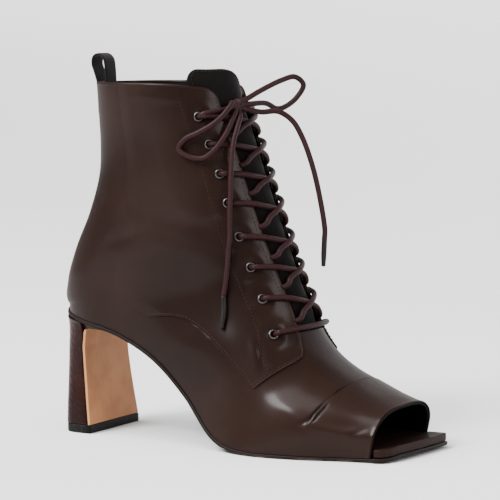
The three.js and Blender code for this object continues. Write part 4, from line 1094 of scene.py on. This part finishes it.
def build_eyelets(side):
    """Each ring is its profile turned about the normal of the leather at its hole."""
    turn = side * turn_at(EYELET_ROWS, EYELET_HALF)
    centre, out = last(EYELET_ROWS, turn)[:, None, None], outward(EYELET_ROWS, turn)[:, None, None]
    right = unit(np.cross(out, (0, 0, 1.0)))
    angle = around(32)[:, None]
    radius, height = EYELET_PROFILE[:, :1, None], EYELET_PROFILE[:, 1:, None]
    rings = centre + radius * (np.cos(angle) * right + np.sin(angle) * np.cross(right, out)) + height * out
    return many_lofts(rings, inside_out=True, ring=True)


for side, side_name in SIDES:
    add_mesh(f"eyelets_{side_name}", *build_eyelets(side), GUNMETAL, "gunmetal",
             [f"eyelet_{side_name}_{k}" for k in range(1, 9)])


# Bottom. Stations cross the boot's underside, along the feather edge and then on along the platform
# in front of the toes. The outsole, the insole and the heel's wing are all lofted over them.
PLATFORM = np.array([
    (219.5, -31.3, 219.5, 41.2), (223.3, -30.3, 225, 41.2), (226, -27.8, 229.8, 40.2),
    (227.8, -24, 232.4, 37.6), (228.8, -18.5, 233.8, 33),
])
GAP = 0.3
SOLE_THICKNESS = 2.1
TOE_SPRING = 1.2
TIP_BOW = 0.8


def station(row, margin, height, share):
    """Points across the feather edge at a row, widened by margin and raised square to the slope."""
    cut = section(row)
    after, before = section(min(row + 0.05, LAST_ROW)), section(row - 0.05 if row > SEAT_ROW + 0.05 else row)
    slope = unit(np.array([after["back_x"] - before["back_x"], 0, after["back_z"] - before["back_z"]], float))
    up = np.array([-slope[2], 0, slope[0]])
    behind = 1 - crown(cut["back_beyond"], cut["back_depth"], BACK_POWER)
    half = half_width(cut, 1.0)
    half = half + margin if half > 0.5 else 0
    across = cut["shift_back"] + half * (2 * share - 1) + SIDE_SHIFT
    flat = np.stack([np.full(share.shape, cut["back_x"] - BACK_TO_CENTRE), across,
                     np.full(share.shape, cut["back_z"])], axis=-1)
    return flat + np.multiply.outer(np.broadcast_to(height, share.shape), up) - slope * margin * behind


def platform_station(forward, margin, height, share):
    """Points across the platform; forward is 0 at the toe opening and 1 at the tip."""
    outer_x, outer_y, inner_x, inner_y = between_rows(forward, np.linspace(0, 1, len(PLATFORM)), PLATFORM)
    bow = TIP_BOW * forward * 4 * share * (1 - share)
    z = section(float(LAST_ROW))["back_z"] + GAP + TOE_SPRING * forward**2 + height
    return np.stack([outer_x + (inner_x - outer_x) * share + bow + margin * forward - BACK_TO_CENTRE,
                     outer_y + (inner_y - outer_y) * share + margin * (2 * share - 1) + SIDE_SHIFT,
                     np.broadcast_to(z, share.shape)], axis=-1)


def sole_loft(rows, forwards, margins, top, thickness, rounding):
    """A closed loft: at each station a ring that runs over the top and back under the bottom, with
    its two edges rounded as quarter circles. top and thickness are given for a row of the last."""
    ease = np.array([0, 0.04, 0.16, 0.36, 0.65, 1.0])
    stops = [(station, row, margins[0], row) for row in rows]
    stops += [(platform_station, forward, margins[1], LAST_ROW) for forward in forwards]
    rings = []
    for make, at, margin, row in stops:
        thick = thickness(row)
        middle, side = make(at, margin, 0.0, np.array([0.5, 1.0]))
        width = max(2 * abs(side[1] - middle[1]), 1.0)
        r = min(rounding, width / 3, thick / 2.2)
        t = np.concatenate([ease * r / width, np.linspace(r / width, 1 - r / width, 15)[1:-1],
                            1 - ease[::-1] * r / width])
        share = np.concatenate([t, t[::-1]])
        drop = r * (1 - arc(np.minimum(share, 1 - share) * width / r))
        height = np.where(np.arange(len(share)) < len(t), top(row) - drop, top(row) - thick + drop)
        rings.append(make(at, margin, height, share))
    return closed_loft(rings)


# Outsole. Thin dark leather, cemented on, with its edge dyed and waxed nearly black.
def sole_look():
    look = Look("sole_leather", specular_ior_level=0.1)
    fibre = look.noise(look.place((1.0, 3.0, 1.0)), 240.0, 4.0)
    scuff = look.noise(look.place((0.6, 2.2, 1.0)), 70.0, 5.0, 0.65)
    low = look.part(look.place(), "Z")
    tread = (1 - low.between(0.0006, 0.0016)) * scuff.between(0.45, 0.65)
    tone = look.mix(fibre, (0.0040, 0.0024, 0.0019), (0.0100, 0.0060, 0.0048))
    tone = look.mix(tread * 0.6, tone, (0.085, 0.062, 0.048))
    return look.finish(base_color=tone, roughness=0.42 + scuff * 0.3, normal=look.bump(fibre, 0.05))


seat_rows = SEAT_ROW + np.concatenate([[0, 0.02, 0.045, 0.08, 0.12, 0.17, 0.24, 0.33, 0.45, 0.6, 0.8],
                                       np.linspace(1.0, 9.0, 86)])
tip = np.linspace(0, 1, 22)[1:]
points, faces = sole_loft(seat_rows, tip, (0.7, 0.7), lambda row: -GAP, lambda row: SOLE_THICKNESS, 0.7)
points[:, 2] = np.maximum(points[:, 2], 0)
round_edges(add_mesh("outsole", points, faces, sole_look(), "sole_leather", ["outsole"]), 0.35)


# Insole. A board covered in the upper's leather, which widens past the toes into the bare platform.
def insole_rise(row):
    """3.2 mm thick under the foot, rising to 4.6 mm towards the toes."""
    return 3.2 + 1.4 * float(smooth(13, 15, row))


points, faces = sole_loft(np.append(seat_rows[1:-1], 15.98), tip, (-2.7, 0.0), insole_rise, insole_rise, 1.0)
PLATFORM_LOOK = leather_look("platform_leather", UPPER_DARK, UPPER_LIGHT, gloss=0.6, coat=0.08)
insole = add_mesh("insole_and_platform", points, faces, PLATFORM_LOOK, "brown_leather", ["insole_platform"])
round_edges(insole, 0.6, 3)


# Heel. A moulded block, covered in glossy burgundy leather that is pressed with scales. It is a D
# in plan, round at the back. It flares into the sole, and its wing reaches forward under the waist.
HEEL = np.array([
    (5.3, 8.5, 29.6, 27.4, 4.5), (17, 7.8, 27.9, 26.4, 4.0), (30, 7.1, 26.2, 25.2, 3.4),
    (43, 6.4, 24.7, 24.4, 2.9), (52, 5.8, 24.0, 24.2, 2.6), (57, 5.4, 24.7, 24.4, 2.4),
    (63.0, 5.2, 25.2, 24.6, 2.4),
])
BREAST_THICKNESS = 1.5
SHELF_Z = 62.8
SEAT_DROP = 2.9
HEEL_FOOT = 5.35
BLOCK_TOP = 57.0
SEAT_FLARE = 0.11
FLARE_DEPTH = 3.2
WING_WIDTH = 24.6 / 29.8


def squared_round(t, wide, high, wide_power, high_power):
    """A rounded rectangle: the cosine and the sine of t, each raised to a power below 1."""
    c, s = np.cos(t), np.sin(t)
    return np.stack([wide * np.sign(c) * np.abs(c) ** wide_power,
                     high * np.sign(s) * np.abs(s) ** high_power], axis=-1)


def heel_ring(z, inset, shrink=0.0):
    """A D in plan: the back half of a rounded rectangle, closed by the breast."""
    back, front, half, power = between_rows(z, HEEL[:, 0], HEEL[:, 1:])
    front = front - inset
    curve = squared_round(np.linspace(-np.pi / 2, np.pi / 2, 72), front - back - 2 * shrink, half - shrink,
                          2 / power, 2 / power)
    curve = np.stack([front - shrink - curve[:, 0] - BACK_TO_CENTRE, curve[:, 1] + SIDE_SHIFT,
                      np.full(72, z)], axis=-1)
    return np.concatenate([curve, np.linspace(curve[-1], curve[0], 26)[1:-1]])


def scale_look():
    look = Look("scaled_leather", specular_ior_level=0.04, coat_weight=0.17, coat_roughness=0.18,
                coat_ior=1.5)
    spot = look.place((1.0, 1.0, 1.5))
    plates = look.cells(spot, 170.0)
    fine = look.cells(look.place((1.0, 1.0, 2.2), (0.1, 0.0, 0.4)), 430.0)
    tone = look.noise(look.place((1.0, 1.0, 0.35)), 120.0, 4.0, 0.6)
    groove = 1 - plates.between(0.0, 0.10)
    colour = look.mix(tone.between(0.35, 0.7), (0.0085, 0.0016, 0.0011), (0.0190, 0.0034, 0.0024))
    colour = look.mix(groove * 0.5, colour, (0.0040, 0.0012, 0.0009))
    dents = look.bump(fine.between(0.0, 0.2), 0.04, look.bump(plates.between(0.0, 0.2), 0.16))
    return look.finish(base_color=colour, roughness=0.34 + groove * 0.2, normal=dents)


SCALE_LOOK = scale_look()
seat = section(SEAT_ROW + np.linspace(0, 2.2, 40))


def under_sole(x):
    """The height of the heel's top at x, just inside the sole's underside."""
    return np.interp(x + BACK_TO_CENTRE, seat["back_x"], seat["back_z"]) - SEAT_DROP


def flared(points):
    """Widens points more the nearer they are to the sole: an exponential that falls off below it."""
    near = SEAT_FLARE * np.exp(-(under_sole(points[:, 0]) - points[:, 2]) / FLARE_DEPTH)
    return points * (1, 0, 1) + np.outer((points[:, 1] - SIDE_SHIFT) * (1 + near) + SIDE_SHIFT, (0, 1, 0))


rings = [heel_ring(z, BREAST_THICKNESS + GAP) for z in np.linspace(HEEL_FOOT, BLOCK_TOP, 60)]
top_ring = rings[-1]
for share in np.linspace(0, 1, 16)[1:]:
    rings.append(top_ring + np.outer((under_sole(top_ring[:, 0]) - BLOCK_TOP) * share, (0, 0, 1)))
heel = add_mesh("heel_block", *closed_loft([flared(ring) for ring in rings]), SCALE_LOOK, "heel_leather",
                ["heel_block"])
round_edges(heel, 0.5)
wing = []
for wing_row in SEAT_ROW + np.linspace(0.88, 1.62, 14):
    roof = station(wing_row, -0.3, -SOLE_THICKNESS - 2 * GAP, np.linspace(0, 1, 25))
    roof[:, 1] = (roof[:, 1] - SIDE_SHIFT) * WING_WIDTH + SIDE_SHIFT
    drop = np.maximum(roof[0, 2] - SHELF_Z, 0.25)
    levels = np.array([roof - (0, 0, drop * share) for share in np.linspace(0, 1, 8)])
    ring = [roof, levels[1:-1, -1], levels[-1, ::-1], levels[1:-1, 0][::-1]]
    wing.append(flared(np.concatenate(ring)))
round_edges(add_mesh("heel_wing", *closed_loft(wing), SCALE_LOOK, "heel_leather"), 0.35)


# Heel tip. A flat plate of black rubber, nailed on under the block, a little scuffed at its edge.
def rubber_look():
    look = Look("rubber", specular_ior_level=0.12)
    speck = look.noise(look.place(), 800.0, 4.0)
    scuff = look.noise(look.place((1.0, 1.0, 0.4)), 190.0, 4.0, 0.7)
    tone = look.mix(scuff.between(0.5, 0.75), (0.0035, 0.0033, 0.0033), (0.011, 0.0105, 0.0105))
    return look.finish(base_color=tone, roughness=0.48 + speck * 0.25, normal=look.bump(speck, 0.07))


rings = [heel_ring(5.3, 0.0, shrink=shrink) for shrink in (0.45, 0.1, 0.0, 0.0, 0.1)]
for ring, z in zip(rings, (0.0, 0.35, 0.9, 4.6, 5.0)):
    ring[:, 2] = z
add_mesh("heel_tip", *closed_loft(rings), rubber_look(), "black_rubber", ["heel_tip"])


# Breast cover. Natural tan leather glued over the heel's flat front, with round top corners and a
# burnished edge that is a shade lighter.
BREAST_CORNER = 3.4
BREAST_TOP = 62.6
BREAST_DISH = 0.15


def build_breast():
    """Rows from the top down; the half width follows a quarter circle at the top corners."""
    z = np.concatenate([BREAST_TOP - BREAST_CORNER * np.linspace(0, 1, 16) ** 2,
                        np.linspace(BREAST_TOP - BREAST_CORNER, HEEL_FOOT, 44)[1:]])[:, None]
    half = np.interp(z, HEEL[:, 0], HEEL[:, 3]) - 0.5
    half = half - BREAST_CORNER * (1 - arc((BREAST_TOP - z) / BREAST_CORNER))
    share = np.sin(np.linspace(-np.pi / 2, np.pi / 2, 31))
    y = half * share
    x = np.interp(z, HEEL[:, 0], HEEL[:, 2]) - BREAST_DISH * (1 - share**2) - BACK_TO_CENTRE
    border = np.minimum(np.minimum(half - np.abs(y), BREAST_TOP - z), 6.0)
    points = np.stack(np.broadcast_arrays(x, y + SIDE_SHIFT, z), axis=-1)
    return points, grid_faces(*y.shape), border


def tan_look():
    look = Look("tan_leather", specular_ior_level=0.25)
    fibre = look.noise(look.place((1.0, 1.0, 0.3)), 700.0, 4.0)
    cloud = look.noise(look.place(), 55.0, 3.0)
    border = look.attribute("border")
    tone = look.mix(cloud.between(0.3, 0.7), (0.305, 0.110, 0.030), (0.40, 0.156, 0.049))
    tone = look.mix(fibre.between(0.55, 0.75) * 0.35, tone, (0.26, 0.11, 0.045))
    tone = look.mix((1 - border.between(0.2, 0.8)) * 0.6, tone, (0.40, 0.200, 0.095))
    return look.finish(base_color=tone, roughness=0.46 + fibre * 0.18, normal=look.bump(fibre, 0.05))


points, faces, border = build_breast()
breast = add_mesh("breast_cover", points, faces, tan_look(), "tan_leather", ["heel_breast_cover"],
                  marks={"border": border})
round_edges(thicken(breast, BREAST_THICKNESS), 0.3)


# Zip. Black woven tape with a moulded chain, in a slot on the inner side whose two edges are
# turned in. The chain is closed to the top, where the slider stands.
ZIP_TOP = 207.4
ZIP_BOTTOM = 61.0
TAPE_HALF = 3.3
ZIP_EDGE_OFF = 3.9
ZIP_EDGE_WIDE = 1.55
ZIP_EDGE_HIGH = 0.62
ZIP_STITCH_OFF = 6.3


def cut_line(row):
    """A cut's front point in side view, and its way from there to the back."""
    cut = section(row)
    return cut["front_x"], cut["front_z"], cut["back_x"] - cut["front_x"], cut["back_z"] - cut["front_z"]


def locate(x, z):
    """Row and turn of the point at x, z in side view: the row is halved down until its cut passes
    through the point, and the turn follows from the share of the way along it."""
    x, z = np.broadcast_arrays(np.asarray(x, float), np.asarray(z, float))

    def under_cut(row):
        front_x, front_z, run, rise = cut_line(row)
        return run * (z - front_z) - rise * (x - front_x) > 0

    row = halved(np.full(x.shape, float(LAST_ROW)), under_cut, 34)
    front_x, front_z, run, rise = cut_line(row)
    return row, share_to_turn(((x - front_x) * run + (z - front_z) * rise) / (run**2 + rise**2))


def beside_zip(z, off, height):
    """Points and normals on the inner side, off from the zip's centre line towards the toe."""
    z, off = np.broadcast_arrays(np.asarray(z, float), np.asarray(off, float))
    row, turn = locate(np.interp(z, ZIP_Z, ZIP_X) + off, z)
    return lifted(row, turn, height), outward(row, turn)


def tape_look():
    look = Look("zip_tape", specular_ior_level=0.1, sheen_weight=0.04, sheen_roughness=0.5)
    twill = (look.part(look.place(), "Z") * 9000.0).sine() * 0.5 + 0.5
    fuzz = look.noise(look.place(), 1800.0, 2.0)
    tone = look.mix(twill, (0.0050, 0.0040, 0.0042), (0.020, 0.015, 0.016))
    return look.finish(base_color=tone, roughness=0.7 + fuzz * 0.2, normal=look.bump(twill, 0.08))


tape_z, tape_off = np.meshgrid(np.linspace(ZIP_TOP, ZIP_BOTTOM, 120), np.linspace(TAPE_HALF, -TAPE_HALF, 9),
                               indexing="ij")
points, _ = beside_zip(tape_z, tape_off, np.where(np.abs(tape_off) > 1.5, -0.55, -0.45))
thicken(add_mesh("zip_tape", points, grid_faces(*tape_z.shape), tape_look(), "zip_tape", ["zip_tape"]), 0.6)

TEETH = 112
TOOTH = [(-1.3, -0.42), (-0.9, -0.52), (0.9, -0.52), (1.3, -0.42), (1.3, 0.42), (0.9, 0.52), (-0.9, 0.52),
         (-1.3, 0.42)]
TOOTH_LAYERS = [(0.86, -0.35), (1.0, 0.05), (0.9, 0.36), (0.6, 0.5)]
tooth_z = np.linspace(ZIP_TOP - 1.2, ZIP_BOTTOM + 1.0, TEETH)
tooth_off = np.where(np.arange(TEETH) % 2 == 0, 0.45, -0.45)
centre, normal = beside_zip(tooth_z, tooth_off, -0.1)
ahead, _ = beside_zip(tooth_z - 0.5, tooth_off, -0.1)
run = unit(ahead - centre)
across = np.cross(normal, run)
centre, normal, run, across = (vectors[:, None, None] for vectors in (centre, normal, run, across))
scale, height = np.array(TOOTH_LAYERS).T[:, :, None, None]
wide, long = np.array(TOOTH).T[:, None, :, None]
points = centre + wide * scale * across + long * scale * 1.05 * run + height * normal
CHAIN_LOOK = metal_look("zip_chain", (0.10, 0.098, 0.10), (0.26, 0.25, 0.25), 0.3)
add_mesh("zip_chain", *many_lofts(points), CHAIN_LOOK, "gunmetal")


def build_zip_edge():
    """The turned edges of the slot: a flat roll that runs down one side, round the bottom and up."""
    bend = np.linspace(0, np.pi, 15)[1:-1]
    up = np.linspace(ZIP_BOTTOM, ZIP_TOP + 0.6, 110)
    level = np.ones(110)
    z = np.concatenate([up[::-1], ZIP_BOTTOM - 3.4 * np.sin(bend), up])
    off = ZIP_EDGE_OFF * np.concatenate([level, np.cos(bend), -level])
    layer = OVERLAY * np.concatenate([level, (1 + np.cos(bend)) / 2, 0 * level])
    path, out = beside_zip(z, off, layer - 0.35)
    across = np.cross(out, unit(np.gradient(path, axis=0)))
    return tube(path, across, out, ZIP_EDGE_WIDE, ZIP_EDGE_HIGH, 12)


add_mesh("zip_edges", *build_zip_edge(), UPPER_LOOK, "brown_leather")
stitch_z = np.linspace(ZIP_TOP - 1.0, ZIP_BOTTOM - 2, 300)
for off, height, side_name in ((ZIP_STITCH_OFF, OVERLAY, "front"), (-ZIP_STITCH_OFF, 0.0, "rear")):
    path, normal = beside_zip(stitch_z, off, height + 0.02)
    sew(f"stitches_zip_{side_name}", path, normal)


# Slider and pull. A cast and plated slider with a bridge, in which a wire frame swings. A folded
# leather tag hangs from the frame's lower bar.
hinge = frame["joints"][0]
hinge_at = np.array(hinge["pos_m"]) * 1000
RIGHT = unit(np.array(hinge["axis"], float))
UP = np.array((0.0, 0.0, 1.0))
OUT = np.cross(UP, RIGHT)
BAR_OUT = 3.75
BAR_UP = -1.0
slider_at = hinge_at - OUT * BAR_OUT - UP * BAR_UP
CHROME = metal_look("chrome", (0.55, 0.55, 0.56), (0.80, 0.80, 0.81), 0.12)


def in_slider(points):
    """From the slider's own axes (right, out, up) to the boot's."""
    points = np.asarray(points, float)
    return slider_at + points[..., :1] * RIGHT + points[..., 1:2] * OUT + points[..., 2:] * UP


def plate(outline, depths):
    """A closed plate: an outline of (right, up) pairs, anticlockwise from outside, at each of the
    depths (out, scale) from back to front."""
    outline = np.asarray(outline, float)
    middle = outline.mean(axis=0)
    rings = [np.insert((outline - middle) * scale + middle, 1, out, axis=1) for out, scale in depths]
    return closed_loft(in_slider(rings), inside_out=True)


SLIDER_HALF = 2.55
SLIDER_HALF_LENGTH = 4.3
BRIDGE_RADIUS = 0.62
t = around(48)
outline = squared_round(t, SLIDER_HALF, SLIDER_HALF_LENGTH, 0.55, 0.6)
outline[:, 0] *= 0.84 + 0.16 * smooth(-1, 0.6, np.sin(t))
depths = [(0.75, 0.93), (0.95, 1.0), (2.1, 1.0), (2.45, 0.96), (2.65, 0.86)]
add_mesh("zip_slider", *plate(outline[::-1], depths), CHROME, "chrome", ["zip_slider"])
arch = [(0, 2.4, 3.0), (0, 3.6, 2.95), (0, 4.9, 2.3), (0, 5.35, 0.8)]
arch += [(right, out, -up) for right, out, up in arch[::-1]]
points, faces, _ = cord_mesh(in_slider(curve_through(arch, 40)), BRIDGE_RADIUS, 12)
add_mesh("slider_bridge", points, faces, CHROME, "chrome")

WIRE = 0.55
PULL_HALF = 3.2
PULL_LENGTH = 17.5
foot = BAR_UP + 2 * WIRE - PULL_LENGTH
corner = np.linspace(0, np.pi / 2, 7)
w, top_z, low_z = PULL_HALF, BAR_UP, foot
frame_path = np.concatenate([
    [(0, top_z)], [(w - 1 + math.sin(a), top_z - 1 + math.cos(a)) for a in corner],
    [(w, (top_z + low_z) / 2)], [(w - 1 + math.cos(a), low_z + 1 - math.sin(a)) for a in corner],
    [(0, low_z)], [(-w + 1 - math.sin(a), low_z + 1 - math.cos(a)) for a in corner],
    [(-w, (top_z + low_z) / 2)], [(-w + 1 - math.cos(a), top_z - 1 + math.sin(a)) for a in corner],
])
path = in_slider(np.insert(frame_path, 1, BAR_OUT, axis=1))
tangent = unit(np.roll(path, -1, axis=0) - np.roll(path, 1, axis=0))
points, faces = tube(path, OUT, np.cross(tangent, OUT), WIRE, WIRE, 12, ring=True)
add_mesh("zip_pull_frame", points, faces, CHROME, "chrome", ["zip_pull_frame"], body="zip_pull")

TAG_HALF = 3.2
TAG_HALF_LENGTH = 8.5
tag_top = foot + 2.2
outline = squared_round(around(56), TAG_HALF, TAG_HALF_LENGTH, 0.35, 0.22) + (0, tag_top - TAG_HALF_LENGTH)
outline[:, 0] *= 1 - 0.30 * smooth(tag_top - 5.5, tag_top - 3.2, outline[:, 1])
depths = [(BAR_OUT + out, scale) for out, scale in ((-0.9, 0.9), (-0.65, 0.99), (0.65, 0.99), (0.9, 0.9))]
TAG_LOOK = leather_look("tag_leather", (0.006, 0.0045, 0.004), (0.014, 0.010, 0.009))
add_mesh("zip_pull_tag", *plate(outline[::-1], depths), TAG_LOOK, "black_lining", ["zip_pull_tag"],
         body="zip_pull")


# Pull loop. A strap of black webbing, doubled and sewn down on both sides of the back seam, which
# stands up in a teardrop.
LOOP_PATH = np.array([
    (23.45, 190), (23, 199), (22.3, 208), (20.4, 214), (18.6, 219.5), (19.6, 223.6), (23.2, 224.8),
    (26.6, 222.4), (27.8, 217), (28.3, 210), (29.2, 203), (29.7, 196),
])
LOOP_WIDTH = 11.5
LOOP_THICKNESS = 1.5


def build_loop():
    """The strap's cross section, a flat rounded bar, carried along the teardrop."""
    line = curve_through(np.insert(LOOP_PATH - (BACK_TO_CENTRE, 0), 1, 0, axis=1), 110)
    tangent = unit(np.gradient(line, axis=0))
    out = np.column_stack([-tangent[:, 2], np.zeros(110), tangent[:, 0]])
    wide, thick = squared_round(around(28), LOOP_WIDTH / 2, LOOP_THICKNESS / 2, 0.3, 0.5).T[:, :, None]
    points, faces = closed_loft(line[:, None] + out[:, None] * thick + (wide + SIDE_SHIFT) * (0, 1, 0))
    uv = np.stack(np.broadcast_arrays(wide[:, 0], np.linspace(0, 90, 110)[:, None]), axis=-1)
    return points, faces, uv.reshape(-1, 2)


def webbing_look():
    look = Look("webbing", specular_ior_level=0.1, sheen_weight=0.04, sheen_roughness=0.5)
    rib = (look.uv("Y") * (2 * math.pi / 0.8)).sine() * 0.5 + 0.5
    warp = (look.uv("X") * (2 * math.pi / 1.1)).sine() * 0.5 + 0.5
    weave = rib * 0.65 + warp * 0.35
    tone = look.mix(weave, (0.0030, 0.0024, 0.0024), (0.013, 0.0100, 0.0100))
    return look.finish(base_color=tone, roughness=0.82 - weave * 0.12, normal=look.bump(weave, 0.14))


points, faces, uv = build_loop()
add_mesh("pull_loop", points, faces, webbing_look(), "black_lining", ["pull_loop"], uv=uv)


# Floor and light. A pale sheet that curves up behind the boot, lit by large soft lamps. Its colour carries
# painted light: darker on the flat floor, lighter up the backdrop.
FLAT_TO = 500.0
FLOOR_TO = 9000.0


def build_floor():
    """Flat in front, then a long parabola up behind the boot."""
    y = np.concatenate([[-6000.0], np.linspace(FLAT_TO, FLOOR_TO, 80)])
    z = np.maximum(y - FLAT_TO, 0) ** 2 / FLOOR_TO
    x = np.array([-7000.0, 7000.0])
    points = np.stack([np.broadcast_to(x[None], (len(y), 2)), np.broadcast_to(y[:, None], (len(y), 2)),
                       np.broadcast_to(z[:, None], (len(y), 2))], axis=-1)
    turn = math.radians(-33.7)
    c, s = math.cos(turn), math.sin(turn)
    turned = points @ np.array([[c, s, 0], [-s, c, 0], [0, 0, 1]])
    return turned.reshape(-1, 3), grid_faces(len(y), 2)[:, ::-1]


FLOOR_LOOK = Look("pale_floor", specular_ior_level=0.2)
floor_tone = FLOOR_LOOK.noise(FLOOR_LOOK.place(), 3.0, 2.0)
# Painted light: the colour goes from a darker tone on the flat floor to a lighter one as the backdrop rises,
# for the way the lamps light them.
rise = FLOOR_LOOK.part(FLOOR_LOOK.place(), "Z").between(-0.05, 0.35)
FLOOR_LOOK = FLOOR_LOOK.finish(base_color=FLOOR_LOOK.mix(rise, (0.74, 0.735, 0.73), (0.93, 0.93, 0.93)),
                               roughness=0.75 + floor_tone * 0.05)
points, faces = build_floor()
mesh = bpy.data.meshes.new("floor")
mesh.from_pydata((points / 1000).tolist(), [], faces.tolist())
mesh.materials.append(FLOOR_LOOK)
into_scene("floor", mesh)


def lamp(name, place, size, power):
    """A square soft box that faces the boot."""
    data = bpy.data.lights.new(name, "AREA")
    data.size = size
    data.energy = power
    into_scene(name, data, place, (0.0, 0.0, 0.1))


lamp("key", (-0.8, -1.9, 2.0), 1.0, 130)
lamp("fill", (2.2, -0.6, 1.2), 0.8, 22)
sky_data = bpy.data.lights.new("overhead", "SUN")
sky_data.energy = 6.0
sky_data.angle = math.radians(55)
into_scene("overhead", sky_data).rotation_euler = (math.radians(16), math.radians(-24), 0.0)
world = bpy.data.worlds.new("studio")
world.use_nodes = True
world.node_tree.nodes["Background"].inputs["Color"].default_value = (0.92, 0.93, 0.95, 1.0)
world.node_tree.nodes["Background"].inputs["Strength"].default_value = 0.50
bpy.context.scene.world = world
